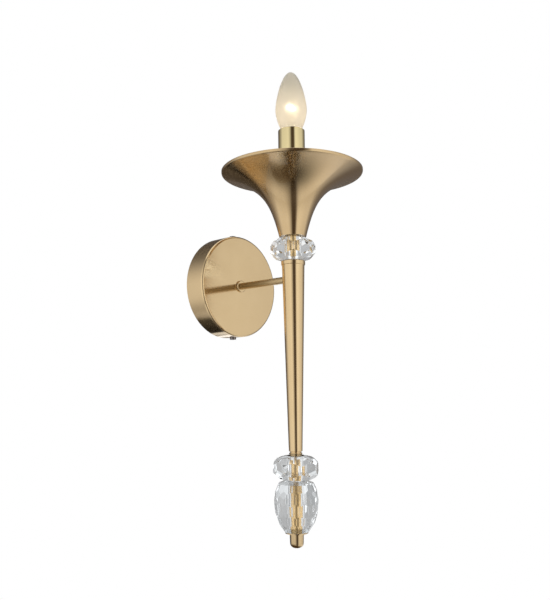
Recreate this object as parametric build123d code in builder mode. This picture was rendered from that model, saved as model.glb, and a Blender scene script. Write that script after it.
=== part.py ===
from build123d import *
import math
import os

# Wall sconce: canopy, arm, tapered column, cut crystals, trumpet bell and candle lamp.
# Origin on the wall at the canopy's centre, +Z up, the light stands out towards -Y. Millimetres.

# Canopy and the strap behind it
canopy_diameter = 120.0
canopy_depth = 27.0
canopy_wall = 1.0
canopy_edge_radius = 0.9
strap_width = 20.0
strap_thickness = 1.5
strap_bend_radius = 1.0
strap_end_gap = 0.9
tab_past_screw = 6.0
wall_slot_spacing = 76.0
wall_slot_length = 12.0
wall_slot_width = 5.0
cable_hole_diameter = 12.0
side_screw_diameter = 4.0
side_screw_head_diameter = 7.6
side_screw_head_height = 2.6
side_screw_grip = 6.5

# Arm
wall_to_axis = 110.0
arm_diameter = 8.0
arm_wall = 1.0
arm_end_to_axis = 6.0
arm_thread_tail = 2.0
rosette_diameter = 14.0
rosette_thickness = 2.2
arm_nut_across_flats = 13.0
arm_nut_thickness = 4.0
lock_washer_diameter = 15.0
lock_washer_thickness = 0.8
lock_washer_split = 1.0

# Column and its collars
column_rise = 15.2
column_drop = 185.6
column_top_diameter = 25.0
column_bottom_diameter = 14.6
column_wall = 1.0
top_collar_diameter = 26.6
top_collar_height = 4.8
top_collar_edge = 0.9
lower_collar_diameter = 14.2
lower_collar_height = 4.4
lower_collar_groove = 0.5
spigot_length = 3.0
joint_block_height = 24.0
rod_engagement = 7.5

# Rods and tubes through the stack
rod_diameter = 10.0
rod_bore = 7.0
core_tube_diameter = 12.0
core_tube_wall = 0.9
rod_nut_across_flats = 15.0
rod_nut_thickness = 5.0

# Cut crystals
gasket_thickness = 0.5
bell_gasket_thickness = 1.5
gasket_diameter = 18.0
bead_diameter = 50.0
bead_height = 25.2
bead_table_diameter = 23.2
bead_shoulder_diameter = 36.0
bead_shoulder_drop = 1.8
bead_girdle_height = 8.0
bead_facets = 8
upper_bead_turn = 20.16
lower_bead_turn = 33.0
barrel_height = 52.0
barrel_facets = 16
barrel_turn = 5.0
barrel_table_diameter = 24.0
barrel_shoulder_diameter = 37.2
barrel_shoulder_drop = 2.6
barrel_chest_diameter = 43.6
barrel_chest_drop = 10.0
barrel_belly_diameter = 46.6
barrel_belly_drop = 22.0
barrel_hip_diameter = 44.0
barrel_hip_drop = 34.0
barrel_skirt_diameter = 37.6
barrel_skirt_drop = 43.4
barrel_foot_diameter = 26.0

# Finial
finial_washer_diameter = 24.6
finial_washer_thickness = 1.0
finial_diameter = 15.2
finial_dome_diameter = 14.6
finial_height = 15.5
finial_thread_depth = 10.0

# Bell
bell_diameter = 158.0
bell_height = 74.0
bell_neck_diameter = 29.9
bell_wall = 1.1
bell_floor = 2.0
bell_neck_lean = 14.4
bell_neck_pull = 37.8
bell_rim_rise = 16.2
bell_rim_pull = 47.6
bell_lip_bend = 1.6
bell_lip_rise = 0.4
bell_lip_edge = 0.3

# Candle sleeve, lampholder and lamp
sleeve_diameter = 30.0
sleeve_wall = 0.7
sleeve_length = 85.0
sleeve_above_rim = 47.6
seat_diameter = 36.0
seat_thickness = 2.0
seat_pilot_height = 3.0
holder_diameter = 25.0
holder_cup_depth = 26.4
holder_floor = 6.0
holder_chamber_depth = 21.0
holder_chamber_wall = 2.0
holder_base_plate = 2.0
holder_boss_diameter = 15.0
holder_boss_height = 6.0
shell_wall = 0.7
shell_length = 19.0
contact_strip_width = 4.0
contact_strip_thickness = 0.4
contact_spring_height = 1.7
holder_terminal_width = 5.0
holder_terminal_height = 9.0
holder_terminal_spread = 5.8
lamp_length = 99.6
lamp_above_sleeve = 69.8
lamp_diameter = 35.7
lamp_belly_below_tip = 44.9
lamp_neck_diameter = 16.2
lamp_neck_lean = 45.0
lamp_neck_pull = 2.3
lamp_belly_pull_down = 11.4
lamp_belly_pull_up = 9.9
lamp_tip_pull = 10.7
lamp_glass_wall = 0.8
lamp_cap_height = 25.0
lamp_thread_diameter = 13.9
lamp_skirt_diameter = 17.0
lamp_skirt_height = 4.0
lamp_flare_height = 3.0
lamp_cap_wall = 0.35
lamp_contact_diameter = 4.8
lamp_contact_height = 1.0
lamp_contact_pin_diameter = 2.0
lamp_insulator_height = 2.6
lamp_stem_diameter = 6.0
lamp_stem_rise = 16.0
lamp_lead_diameter = 0.7
lamp_filament_span = 14.0
lamp_filament_sag = 2.5

# Wiring in the canopy
pole_pitch = 6.5
pole_count = 3
block_height = 17.0
block_depth = 9.0
block_drop = 10.0
block_side_wall = 0.5
tower_diameter = 6.0
tower_height = 4.5
pole_screw_inset = 4.2
pole_screw_diameter = 3.0
pole_tube_diameter = 4.4
pole_tube_bore = 2.6
pole_tube_recess = 1.0
peg_diameter = 3.0
wire_diameter = 1.7
wire_spread = 2.6
wire_bend = 4.0
wire_into_pole = 4.0
earth_screw_height = 20.0
earth_head_diameter = 6.8
earth_head_height = 2.4
earth_tag_diameter = 7.6
earth_tag_thickness = 0.8
earth_barrel_diameter = 3.0
earth_barrel_length = 3.0

# Clearances
slip = 0.1
loose = 0.3
thread_gap = 0.05
running = 0.35

# Levels up and down the column, from the arm's axis
collar_top = column_rise + top_collar_height
upper_bead_bottom = collar_top + gasket_thickness
upper_bead_top = upper_bead_bottom + bead_height
bell_bottom = upper_bead_top + bell_gasket_thickness
bell_inside = bell_bottom + bell_floor
bell_rim = bell_bottom + bell_height
sleeve_top = bell_rim + sleeve_above_rim
sleeve_bottom = sleeve_top - sleeve_length
seat_bottom = sleeve_bottom - seat_thickness
lamp_tip = sleeve_top + lamp_above_sleeve
lamp_foot = lamp_tip - lamp_length
holder_cup_floor = lamp_foot - running - contact_spring_height
holder_top = holder_cup_floor + holder_cup_depth
holder_chamber_top = holder_cup_floor - holder_floor
holder_bottom = holder_chamber_top - holder_chamber_depth
boss_bottom = holder_bottom - holder_base_plate - holder_boss_height
collar_bottom = -column_drop - lower_collar_height
lower_bead_top = collar_bottom - gasket_thickness
lower_bead_bottom = lower_bead_top - bead_height
barrel_top = lower_bead_bottom - gasket_thickness
barrel_bottom = barrel_top - barrel_height
washer_top = barrel_bottom - gasket_thickness
washer_bottom = washer_top - finial_washer_thickness
finial_bottom = washer_bottom - finial_height

# Shared radii and places
canopy_radius = canopy_diameter / 2
arm_radius = arm_diameter / 2
arm_bore_radius = arm_radius - arm_wall
rod_radius = rod_diameter / 2
rod_hole_radius = rod_radius + thread_gap
core_radius = core_tube_diameter / 2
bead_bore_radius = core_radius + loose
sleeve_bore_radius = sleeve_diameter / 2 - sleeve_wall
side_screw_out = canopy_depth / 2
tab_face = canopy_radius - canopy_wall - strap_end_gap
tab_reach = side_screw_out + tab_past_screw
nut_front = canopy_depth - canopy_wall - lock_washer_thickness
arm_rear_out = nut_front - arm_nut_thickness - arm_thread_tail
arm_front_out = wall_to_axis - arm_end_to_axis
pole_out = strap_thickness + block_depth / 2
block_bottom = -block_drop - block_height
pole_places = [(index - (pole_count - 1) / 2) * pole_pitch for index in range(pole_count)]
pole_screw_levels = [-block_drop - pole_screw_inset, block_bottom + pole_screw_inset]

# Planes: the wall side is drawn looking at the wall, the column as a section of radius and height
column_section = Plane(origin=(0, -wall_to_axis, 0), x_dir=(1, 0, 0), z_dir=(0, -1, 0))
column_axis = Axis((0, -wall_to_axis, 0), (0, 0, 1))


def facing(out):
    """Plane parallel to the wall, this far out from it, looking out; local Y is up."""
    return Plane(origin=(0, -out, 0), x_dir=(1, 0, 0), z_dir=(0, -1, 0))


def level(height):
    """Level plane centred on the column's axis."""
    return Plane(origin=(0, -wall_to_axis, height))


def column_radius(height):
    """Outside radius of the tapered column at a height."""
    share = (column_rise - height) / (column_rise + column_drop)
    return (column_top_diameter + share * (column_bottom_diameter - column_top_diameter)) / 2


def write_piece(piece, name):
    """Label a finished piece and write it as one STEP file."""
    piece.part.label = name
    export_step(piece.part, f"parts/{name}.step")


def ring(plane, outer, inner, thickness):
    """Add a flat ring or a tube, raised from a plane."""
    with BuildSketch(plane) as outline:
        Circle(outer)
        Circle(inner, mode=Mode.SUBTRACT)
    extrude(outline.sketch, amount=thickness)


def hex_nut(plane, across_flats, bore, thickness):
    """Add a hexagon nut, raised from a plane."""
    with BuildSketch(plane) as outline:
        RegularPolygon(across_flats / 2, 6, major_radius=False)
        Circle(bore, mode=Mode.SUBTRACT)
    extrude(outline.sketch, amount=thickness)


def cut_facets(rows, count, turn, base):
    """Grind rows of flats on the part being built, each row half a pitch round from the last.

    A row is two points (radius, height above the base), upper first, on the middle line of its flats.
    """
    pitch = 360 / count
    for number, ((upper_r, upper_z), (lower_r, lower_z)) in enumerate(rows):
        for index in range(count):
            angle = math.radians(turn + (index + number % 2 / 2) * pitch)
            out = Vector(math.cos(angle), math.sin(angle), 0)
            normal = out * (upper_z - lower_z) + Vector(0, 0, lower_r - upper_r)
            origin = column_axis.position + out * upper_r + Vector(0, 0, base + upper_z)
            split(bisect_by=Plane(origin=origin, z_dir=normal), keep=Keep.BOTTOM)


os.makedirs("parts", exist_ok=True)

# Canopy: spun cup with a closed front, open to the wall
with BuildPart() as canopy:
    with BuildSketch(facing(0)):
        Circle(canopy_radius)
    extrude(amount=canopy_depth)
    fillet(canopy.edges().sort_by(Axis.Y)[0], canopy_edge_radius)
    offset(amount=-canopy_wall, openings=canopy.faces().sort_by(Axis.Y)[-1])
    with BuildSketch(facing(0)):
        Circle(arm_radius + slip)
    extrude(amount=canopy_depth, mode=Mode.SUBTRACT)
    with BuildSketch(Plane(origin=(0, -side_screw_out, 0))):
        Circle(side_screw_diameter / 2 + loose)
    extrude(amount=canopy_radius, both=True, mode=Mode.SUBTRACT)
write_piece(canopy, "canopy")

# Wall strap: bent steel with two slots, a cable hole and a threaded tab at each end
with BuildPart() as wall_bracket:
    with BuildSketch(Plane.YZ) as strap_profile:
        with Locations((-tab_reach / 2, 0)):
            Rectangle(tab_reach, 2 * tab_face)
        with Locations((-(tab_reach + strap_thickness) / 2, 0)):
            inner_height = 2 * (tab_face - strap_thickness)
            Rectangle(tab_reach - strap_thickness, inner_height, mode=Mode.SUBTRACT)
        fillet(strap_profile.vertices().group_by(Axis.X)[-1], strap_bend_radius + strap_thickness)
        fillet(strap_profile.vertices().filter_by_position(
            Axis.X, -strap_thickness - slip / 2, -strap_thickness + slip / 2), strap_bend_radius)
    extrude(amount=strap_width / 2, both=True)
    with BuildSketch(facing(0)):
        with Locations((0, wall_slot_spacing / 2), (0, -wall_slot_spacing / 2)):
            SlotOverall(wall_slot_length, wall_slot_width, rotation=90)
        Circle(cable_hole_diameter / 2)
        with Locations((pole_places[-1], earth_screw_height)):
            Circle(side_screw_diameter / 2 + thread_gap)
        with GridLocations(pole_pitch, 0, 2, 1):
            with Locations((0, -block_drop - block_height / 2)):
                Circle(peg_diameter / 2 + slip)
    extrude(amount=strap_thickness, mode=Mode.SUBTRACT)
    with BuildSketch(Plane(origin=(0, -side_screw_out, 0))):
        Circle(side_screw_diameter / 2 + thread_gap)
    extrude(amount=canopy_radius, both=True, mode=Mode.SUBTRACT)
write_piece(wall_bracket, "wall_bracket")

# Side screws: slotted pan heads on the rim, above and below
with BuildPart() as canopy_screws:
    for side in (1, -1):
        rim = Plane(origin=(0, -side_screw_out, side * canopy_radius), z_dir=(0, 0, side))
        with BuildSketch(rim):
            Circle(side_screw_head_diameter / 2)
        extrude(amount=side_screw_head_height)
        fillet(canopy_screws.edges().sort_by(Axis.Z)[-1 if side > 0 else 0], side_screw_head_height / 3)
        with BuildSketch(rim):
            Circle(side_screw_diameter / 2)
        extrude(amount=-side_screw_grip)
        with BuildSketch(rim.offset(side_screw_head_height)):
            Rectangle(side_screw_head_diameter, side_screw_head_height / 3)
        extrude(amount=-side_screw_head_height / 3, mode=Mode.SUBTRACT)
write_piece(canopy_screws, "canopy_screws")

# Arm: a plain tube through the canopy, held by a ring outside and a nut inside
with BuildPart() as arm_tube:
    ring(facing(arm_rear_out), arm_radius, arm_bore_radius, arm_front_out - arm_rear_out)
write_piece(arm_tube, "arm_tube")

with BuildPart() as arm_rosette:
    ring(facing(canopy_depth), rosette_diameter / 2, arm_radius + thread_gap, rosette_thickness)
    outer_edge = arm_rosette.edges().group_by(Axis.Y)[0].sort_by(SortBy.LENGTH)[-1]
    fillet(outer_edge, rosette_thickness / 2)
write_piece(arm_rosette, "arm_rosette")

with BuildPart() as arm_lock_washer:
    ring(facing(nut_front), lock_washer_diameter / 2, arm_radius + slip, lock_washer_thickness)
    with BuildSketch(facing(nut_front)):
        with Locations((0, lock_washer_diameter / 2)):
            Rectangle(lock_washer_split, lock_washer_diameter)
    extrude(amount=lock_washer_thickness, mode=Mode.SUBTRACT)
write_piece(arm_lock_washer, "arm_lock_washer")

with BuildPart() as arm_nut:
    nut_plane = facing(nut_front - arm_nut_thickness)
    hex_nut(nut_plane, arm_nut_across_flats, arm_radius + thread_gap, arm_nut_thickness)
write_piece(arm_nut, "arm_nut")

# Column: tapered tube with a side hole for the arm
with BuildPart() as column_tube:
    with BuildSketch(column_section):
        with BuildLine():
            Polyline(
                (column_top_diameter / 2 - column_wall, column_rise),
                (column_top_diameter / 2, column_rise),
                (column_bottom_diameter / 2, -column_drop),
                (column_bottom_diameter / 2 - column_wall, -column_drop),
                close=True,
            )
        make_face()
    revolve(axis=column_axis)
    with BuildSketch(facing(wall_to_axis - column_top_diameter)):
        Circle(arm_radius + slip)
    extrude(amount=column_top_diameter, mode=Mode.SUBTRACT)
write_piece(column_tube, "column_tube")

# Joint block: takes the arm from the side and a rod from each end, with a way through for the wires
with BuildPart() as joint_block:
    block_radius = column_radius(-joint_block_height / 2) - column_wall - loose
    with BuildSketch(level(-joint_block_height / 2)):
        Circle(block_radius)
    extrude(amount=joint_block_height)
    for end in (1, -1):
        mouth = Plane(origin=(0, -wall_to_axis, end * joint_block_height / 2), z_dir=(0, 0, end))
        with BuildSketch(mouth):
            Circle(rod_hole_radius)
        extrude(amount=-rod_engagement, mode=Mode.SUBTRACT)
    with BuildSketch(facing(wall_to_axis - joint_block_height)):
        Circle(arm_radius + thread_gap)
    extrude(amount=joint_block_height - arm_end_to_axis, mode=Mode.SUBTRACT)
    with BuildSketch(facing(arm_front_out)):
        Circle(arm_bore_radius)
    extrude(amount=arm_end_to_axis, mode=Mode.SUBTRACT)
    with BuildSketch(level(-arm_radius)):
        Circle(rod_bore / 2)
    extrude(amount=arm_radius + joint_block_height / 2, mode=Mode.SUBTRACT)
write_piece(joint_block, "joint_block")

# Collars that close the column and carry the crystals
with BuildPart() as column_top_collar:
    ring(level(column_rise), top_collar_diameter / 2, rod_hole_radius, top_collar_height)
    outer_edges = column_top_collar.edges().filter_by(GeomType.CIRCLE).sort_by(SortBy.LENGTH)[-2:]
    fillet(outer_edges, top_collar_edge)
    spigot_radius = column_radius(column_rise - spigot_length) - column_wall - slip
    ring(level(column_rise - spigot_length), spigot_radius, rod_hole_radius, spigot_length)
write_piece(column_top_collar, "column_top_collar")

with BuildPart() as lower_collar:
    lower_collar_radius = lower_collar_diameter / 2
    lower_spigot_radius = column_bottom_diameter / 2 - column_wall - slip
    ring(level(collar_bottom), lower_collar_radius, rod_hole_radius, lower_collar_height)
    with BuildSketch(level(-column_drop - 2 * lower_collar_groove)):
        Circle(lower_collar_radius)
        Circle(lower_collar_radius - lower_collar_groove, mode=Mode.SUBTRACT)
    extrude(amount=2 * lower_collar_groove, mode=Mode.SUBTRACT)
    bottom_edge = lower_collar.edges().group_by(Axis.Z)[0].sort_by(SortBy.LENGTH)[-1]
    fillet(bottom_edge, lower_collar_groove)
    ring(level(-column_drop), lower_spigot_radius, rod_hole_radius, spigot_length)
write_piece(lower_collar, "lower_collar")

# Rods: the upper one is hollow and carries the wires, the lower one pulls the stack together
with BuildPart() as upper_rod:
    upper_rod_foot = joint_block_height / 2 - rod_engagement
    ring(level(upper_rod_foot), rod_radius, rod_bore / 2, holder_bottom - upper_rod_foot)
write_piece(upper_rod, "upper_rod")

with BuildPart() as lower_rod:
    lower_rod_foot = washer_bottom - finial_thread_depth
    with BuildSketch(level(lower_rod_foot)):
        Circle(rod_radius)
    extrude(amount=rod_engagement - joint_block_height / 2 - lower_rod_foot)
write_piece(lower_rod, "lower_rod")

with BuildPart() as rod_nuts:
    for nut_bottom in (bell_inside, seat_bottom - rod_nut_thickness):
        hex_nut(level(nut_bottom), rod_nut_across_flats, rod_hole_radius, rod_nut_thickness)
write_piece(rod_nuts, "rod_nuts")

# Brass tubes that show through the crystals
with BuildPart() as upper_core_tube:
    ring(level(collar_top), core_radius, core_radius - core_tube_wall, bell_bottom - collar_top)
write_piece(upper_core_tube, "upper_core_tube")

with BuildPart() as lower_core_tube:
    ring(level(washer_top), core_radius, core_radius - core_tube_wall, collar_bottom - washer_top)
write_piece(lower_core_tube, "lower_core_tube")

# Soft clear washers between crystal and metal
with BuildPart() as bead_gaskets:
    ring(level(upper_bead_top), gasket_diameter / 2, bead_bore_radius, bell_gasket_thickness)
    for seat in (collar_top, lower_bead_top, barrel_top, washer_top):
        ring(level(seat), gasket_diameter / 2, bead_bore_radius, gasket_thickness)
write_piece(bead_gaskets, "bead_gaskets")

# Cut beads: a girdle of flats between crown and pavilion rows, with a flat table at each end
bead_places = {
    "upper_bead": (upper_bead_bottom, upper_bead_turn),
    "lower_bead": (lower_bead_bottom, lower_bead_turn),
}
bead_corner = bead_diameter / 2
bead_flat = bead_corner * math.cos(math.pi / bead_facets)
bead_crown = [
    (bead_table_diameter / 2, bead_height / 2),
    (bead_shoulder_diameter / 2, bead_height / 2 - bead_shoulder_drop),
    (bead_corner, bead_girdle_height / 2),
]
crown_rows = list(zip(bead_crown, bead_crown[1:]))
girdle_row = ((bead_flat, bead_girdle_height / 2), (bead_flat, -bead_girdle_height / 2))
pavilion_rows = [
    ((lower_r, -lower_z), (upper_r, -upper_z))
    for (upper_r, upper_z), (lower_r, lower_z) in reversed(crown_rows)
]
for name, (bottom, turn) in bead_places.items():
    with BuildPart() as bead:
        with BuildSketch(level(bottom)):
            Circle(bead_diameter)
        extrude(amount=bead_height)
        cut_facets(crown_rows + [girdle_row] + pavilion_rows, bead_facets, turn, bottom + bead_height / 2)
        with BuildSketch(level(bottom)):
            Circle(bead_bore_radius)
        extrude(amount=bead_height, mode=Mode.SUBTRACT)
    write_piece(bead, name)

# Barrel crystal: six rows of long flats that follow its waist, belly and foot
barrel_outline = [
    (barrel_table_diameter / 2, 0),
    (barrel_shoulder_diameter / 2, -barrel_shoulder_drop),
    (barrel_chest_diameter / 2, -barrel_chest_drop),
    (barrel_belly_diameter / 2, -barrel_belly_drop),
    (barrel_hip_diameter / 2, -barrel_hip_drop),
    (barrel_skirt_diameter / 2, -barrel_skirt_drop),
    (barrel_foot_diameter / 2, -barrel_height),
]
with BuildPart() as barrel_crystal:
    with BuildSketch(level(barrel_bottom)):
        Circle(barrel_belly_diameter)
    extrude(amount=barrel_height)
    cut_facets(zip(barrel_outline, barrel_outline[1:]), barrel_facets, barrel_turn, barrel_top)
    with BuildSketch(level(barrel_bottom)):
        Circle(bead_bore_radius)
    extrude(amount=barrel_height, mode=Mode.SUBTRACT)
write_piece(barrel_crystal, "barrel_crystal")

# Finial and its washer
with BuildPart() as finial_washer:
    ring(level(washer_bottom), finial_washer_diameter / 2, rod_hole_radius, finial_washer_thickness)
write_piece(finial_washer, "finial_washer")

with BuildPart() as finial:
    dome_radius = finial_dome_diameter / 2
    dome_top = finial_bottom + dome_radius
    with BuildSketch(column_section):
        with BuildLine():
            Polyline(
                (0, finial_bottom),
                (0, washer_bottom),
                (finial_diameter / 2, washer_bottom),
                (dome_radius, dome_top),
            )
            RadiusArc((dome_radius, dome_top), (0, finial_bottom), dome_radius)
        make_face()
    revolve(axis=column_axis)
    with BuildSketch(level(washer_bottom)):
        Circle(rod_hole_radius)
    extrude(amount=-finial_thread_depth - loose, mode=Mode.SUBTRACT)
write_piece(finial, "finial")

# Bell: a spun trumpet drawn as one curve from neck to rim, whose edge bends up into a short lip
neck_out = Vector(math.sin(math.radians(bell_neck_lean)), math.cos(math.radians(bell_neck_lean)))
rim_out = Vector(math.cos(math.radians(bell_rim_rise)), math.sin(math.radians(bell_rim_rise)))
neck_point = Vector(bell_neck_diameter / 2, bell_bottom)
lip_radius = bell_diameter / 2
lip_middle = Vector(lip_radius - bell_lip_bend, bell_rim - bell_lip_rise)
rim_point = lip_middle + Vector(rim_out.Y, -rim_out.X) * bell_lip_bend
outer_curve = [
    neck_point,
    neck_point + neck_out * bell_neck_pull,
    rim_point - rim_out * bell_rim_pull,
    rim_point,
]
neck_inward = Vector(-neck_out.Y, neck_out.X) * bell_wall
rim_inward = Vector(-rim_out.Y, rim_out.X) * bell_wall
inner_curve = [
    outer_curve[0] + neck_inward,
    outer_curve[1] + neck_inward,
    outer_curve[2] + rim_inward,
    outer_curve[3] + rim_inward,
]
lip_inner_bend = bell_lip_bend - bell_wall
with BuildPart() as bell:
    with BuildSketch(column_section):
        with BuildLine():
            Polyline((0, bell_bottom), (neck_point.X, neck_point.Y))
            Bezier(*[(point.X, point.Y) for point in outer_curve])
            CenterArc((lip_middle.X, lip_middle.Y), bell_lip_bend, bell_rim_rise - 90, 90 - bell_rim_rise)
            Polyline(
                (lip_radius, lip_middle.Y),
                (lip_radius, bell_rim),
                (0, bell_rim),
                (0, bell_bottom),
            )
        make_face()
    revolve(axis=column_axis)
    with BuildSketch(column_section):
        with BuildLine():
            Polyline((0, inner_curve[0].Y), (inner_curve[0].X, inner_curve[0].Y))
            Bezier(*[(point.X, point.Y) for point in inner_curve])
            CenterArc((lip_middle.X, lip_middle.Y), lip_inner_bend, bell_rim_rise - 90, 90 - bell_rim_rise)
            Polyline(
                (lip_radius - bell_wall, lip_middle.Y),
                (lip_radius - bell_wall, bell_rim),
                (0, bell_rim),
                (0, inner_curve[0].Y),
            )
        make_face()
    revolve(axis=column_axis, mode=Mode.SUBTRACT)
    with BuildSketch(level(bell_bottom)):
        Circle(bell_neck_diameter / 2)
    extrude(amount=bell_floor)
    with BuildSketch(level(bell_bottom)):
        Circle(rod_hole_radius)
    extrude(amount=bell_floor, mode=Mode.SUBTRACT)
    lip_edges = bell.edges().filter_by(GeomType.CIRCLE).group_by(Axis.Z)[-1]
    fillet(lip_edges, bell_lip_edge)
write_piece(bell, "bell")

# Candle sleeve and the threaded disc that it stands on
with BuildPart() as sleeve_seat:
    ring(level(seat_bottom), seat_diameter / 2, rod_hole_radius, seat_thickness)
    fillet(sleeve_seat.edges().filter_by(GeomType.CIRCLE).sort_by(SortBy.LENGTH)[-2:], seat_thickness / 3)
    ring(level(sleeve_bottom), sleeve_bore_radius - slip, rod_hole_radius, seat_pilot_height)
write_piece(sleeve_seat, "sleeve_seat")

with BuildPart() as candle_sleeve:
    ring(level(sleeve_bottom), sleeve_diameter / 2, sleeve_bore_radius, sleeve_length)
write_piece(candle_sleeve, "candle_sleeve")

# Lampholder: base with a threaded boss, moulded body, plain contact shell, spring contact, two terminals
with BuildPart() as lampholder_base:
    ring(level(boss_bottom), holder_boss_diameter / 2, rod_hole_radius, holder_boss_height)
    plate = level(holder_bottom - holder_base_plate)
    ring(plate, holder_diameter / 2, rod_hole_radius, holder_base_plate)
write_piece(lampholder_base, "lampholder_base")

shell_bore_radius = lamp_thread_diameter / 2 + running
shell_radius = shell_bore_radius + shell_wall
skirt_bore_radius = lamp_skirt_diameter / 2 + 2 * running
with BuildPart() as lampholder_body:
    with BuildSketch(level(holder_bottom)):
        Circle(holder_diameter / 2)
    extrude(amount=holder_top - holder_bottom)
    with BuildSketch(level(holder_bottom)):
        Circle(holder_diameter / 2 - holder_chamber_wall)
    extrude(amount=holder_chamber_depth, mode=Mode.SUBTRACT)
    with BuildSketch(level(holder_cup_floor)):
        Circle(shell_radius + thread_gap)
    extrude(amount=holder_cup_depth, mode=Mode.SUBTRACT)
    with BuildSketch(level(holder_cup_floor + shell_length)):
        Circle(skirt_bore_radius)
    extrude(amount=holder_cup_depth - shell_length, mode=Mode.SUBTRACT)
write_piece(lampholder_body, "lampholder_body")

with BuildPart() as socket_shell:
    ring(level(holder_cup_floor), shell_radius, shell_bore_radius, shell_length)
write_piece(socket_shell, "socket_shell")

with BuildPart() as centre_contact:
    strip_half = shell_bore_radius - 2 * loose
    strip_top = holder_cup_floor + contact_spring_height
    with BuildSketch(column_section):
        with BuildLine():
            Polyline(
                (-strip_half, holder_cup_floor),
                (-strip_half / 2, holder_cup_floor),
                (0, strip_top - contact_strip_thickness),
                (strip_half / 2, holder_cup_floor + contact_strip_thickness),
                (strip_half / 2, holder_cup_floor + 2 * contact_strip_thickness),
                (contact_strip_width / 4, strip_top),
                (-contact_strip_width / 4, strip_top),
                (-strip_half / 2, holder_cup_floor + contact_strip_thickness),
                (-strip_half, holder_cup_floor + contact_strip_thickness),
                close=True,
            )
        make_face()
    extrude(amount=contact_strip_width / 2, both=True)
write_piece(centre_contact, "centre_contact")

terminal_bottom = holder_chamber_top - holder_terminal_height
with BuildPart() as lampholder_terminals:
    with BuildSketch(level(terminal_bottom)):
        with GridLocations(2 * holder_terminal_spread, 0, 2, 1):
            Rectangle(holder_terminal_width, holder_terminal_width)
            Circle(wire_diameter / 2 + slip, mode=Mode.SUBTRACT)
    extrude(amount=holder_terminal_height)
write_piece(lampholder_terminals, "lampholder_terminals")

# Lamp: frosted envelope with a pinched neck, on a screw cap
cap_top = lamp_foot + lamp_cap_height
cap_bottom = lamp_foot + lamp_contact_height + loose + lamp_insulator_height
flare_top = cap_top - lamp_skirt_height
flare_bottom = flare_top - lamp_flare_height
glass_bottom = flare_top + loose
belly = lamp_tip - lamp_belly_below_tip


def envelope_section(skin):
    """Add the section of the envelope's outside, or of its inside if drawn in by a skin."""
    neck = lamp_neck_diameter / 2 - skin
    waist = lamp_diameter / 2 - skin
    lean = math.radians(lamp_neck_lean)
    neck_top = cap_top + slip
    neck_end = (neck + lamp_neck_pull * math.sin(lean), neck_top + lamp_neck_pull * math.cos(lean))
    top = lamp_tip - skin
    with BuildLine() as outline:
        Polyline((0, glass_bottom), (neck, glass_bottom), (neck, neck_top))
        Bezier((neck, neck_top), neck_end, (waist, belly - lamp_belly_pull_down), (waist, belly))
        Bezier((waist, belly), (waist, belly + lamp_belly_pull_up), (lamp_tip_pull - skin, top), (0, top))
        Line((0, top), (0, glass_bottom))
    make_face(outline.edges())


with BuildPart() as bulb_glass:
    with BuildSketch(column_section):
        envelope_section(0)
    revolve(axis=column_axis)
    with BuildSketch(column_section):
        envelope_section(lamp_glass_wall)
    revolve(axis=column_axis, mode=Mode.SUBTRACT)
write_piece(bulb_glass, "bulb_glass")

with BuildPart() as bulb_cap:
    thread_radius = lamp_thread_diameter / 2
    skirt_radius = lamp_skirt_diameter / 2
    with BuildSketch(column_section):
        with BuildLine():
            Polyline(
                (thread_radius - lamp_cap_wall, cap_bottom),
                (thread_radius, cap_bottom),
                (thread_radius, flare_bottom),
                (skirt_radius, flare_top),
                (skirt_radius, cap_top),
                (skirt_radius - lamp_cap_wall, cap_top),
                (skirt_radius - lamp_cap_wall, flare_top),
                (thread_radius - lamp_cap_wall, flare_bottom),
                close=True,
            )
        make_face()
    revolve(axis=column_axis)
write_piece(bulb_cap, "bulb_cap")

with BuildPart() as bulb_insulator:
    insulator_bottom = lamp_foot + lamp_contact_height + loose
    with BuildSketch(column_section):
        with BuildLine():
            Polyline(
                (lamp_contact_pin_diameter / 2 + loose, insulator_bottom),
                (lamp_contact_diameter / 2 + loose, insulator_bottom),
                (thread_radius, cap_bottom),
                (thread_radius - lamp_cap_wall - slip, cap_bottom),
                (thread_radius - lamp_cap_wall - slip, cap_bottom + lamp_insulator_height),
                (lamp_contact_pin_diameter / 2 + loose, cap_bottom + lamp_insulator_height),
                close=True,
            )
        make_face()
    revolve(axis=column_axis)
write_piece(bulb_insulator, "bulb_insulator")

with BuildPart() as bulb_contact:
    with BuildSketch(level(lamp_foot)):
        Circle(lamp_contact_diameter / 2)
    extrude(amount=lamp_contact_height)
    fillet(bulb_contact.edges().group_by(Axis.Z)[0], lamp_contact_height / 2)
    with BuildSketch(level(lamp_foot + lamp_contact_height)):
        Circle(lamp_contact_pin_diameter / 2)
    extrude(amount=lamp_insulator_height)
write_piece(bulb_contact, "bulb_contact")

with BuildPart() as bulb_stem:
    neck_bore = lamp_neck_diameter / 2 - lamp_glass_wall
    with BuildSketch(level(glass_bottom)):
        Circle(neck_bore - slip)
    extrude(amount=lamp_glass_wall)
    with BuildSketch(level(glass_bottom)):
        Circle(lamp_stem_diameter / 2)
    extrude(amount=lamp_stem_rise)
write_piece(bulb_stem, "bulb_stem")

stem_top = glass_bottom + lamp_stem_rise
with BuildPart() as bulb_leads:
    for side in (1, -1):
        foot = Vector(side * lamp_stem_diameter / 4, -wall_to_axis, stem_top)
        tip = Vector(side * lamp_filament_span / 2, -wall_to_axis, belly)
        lean = tip - foot
        with BuildSketch(level(stem_top)):
            with Locations((foot.X, 0)):
                Circle(lamp_lead_diameter / 2)
        extrude(amount=belly - stem_top, dir=lean)
write_piece(bulb_leads, "bulb_leads")

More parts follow.
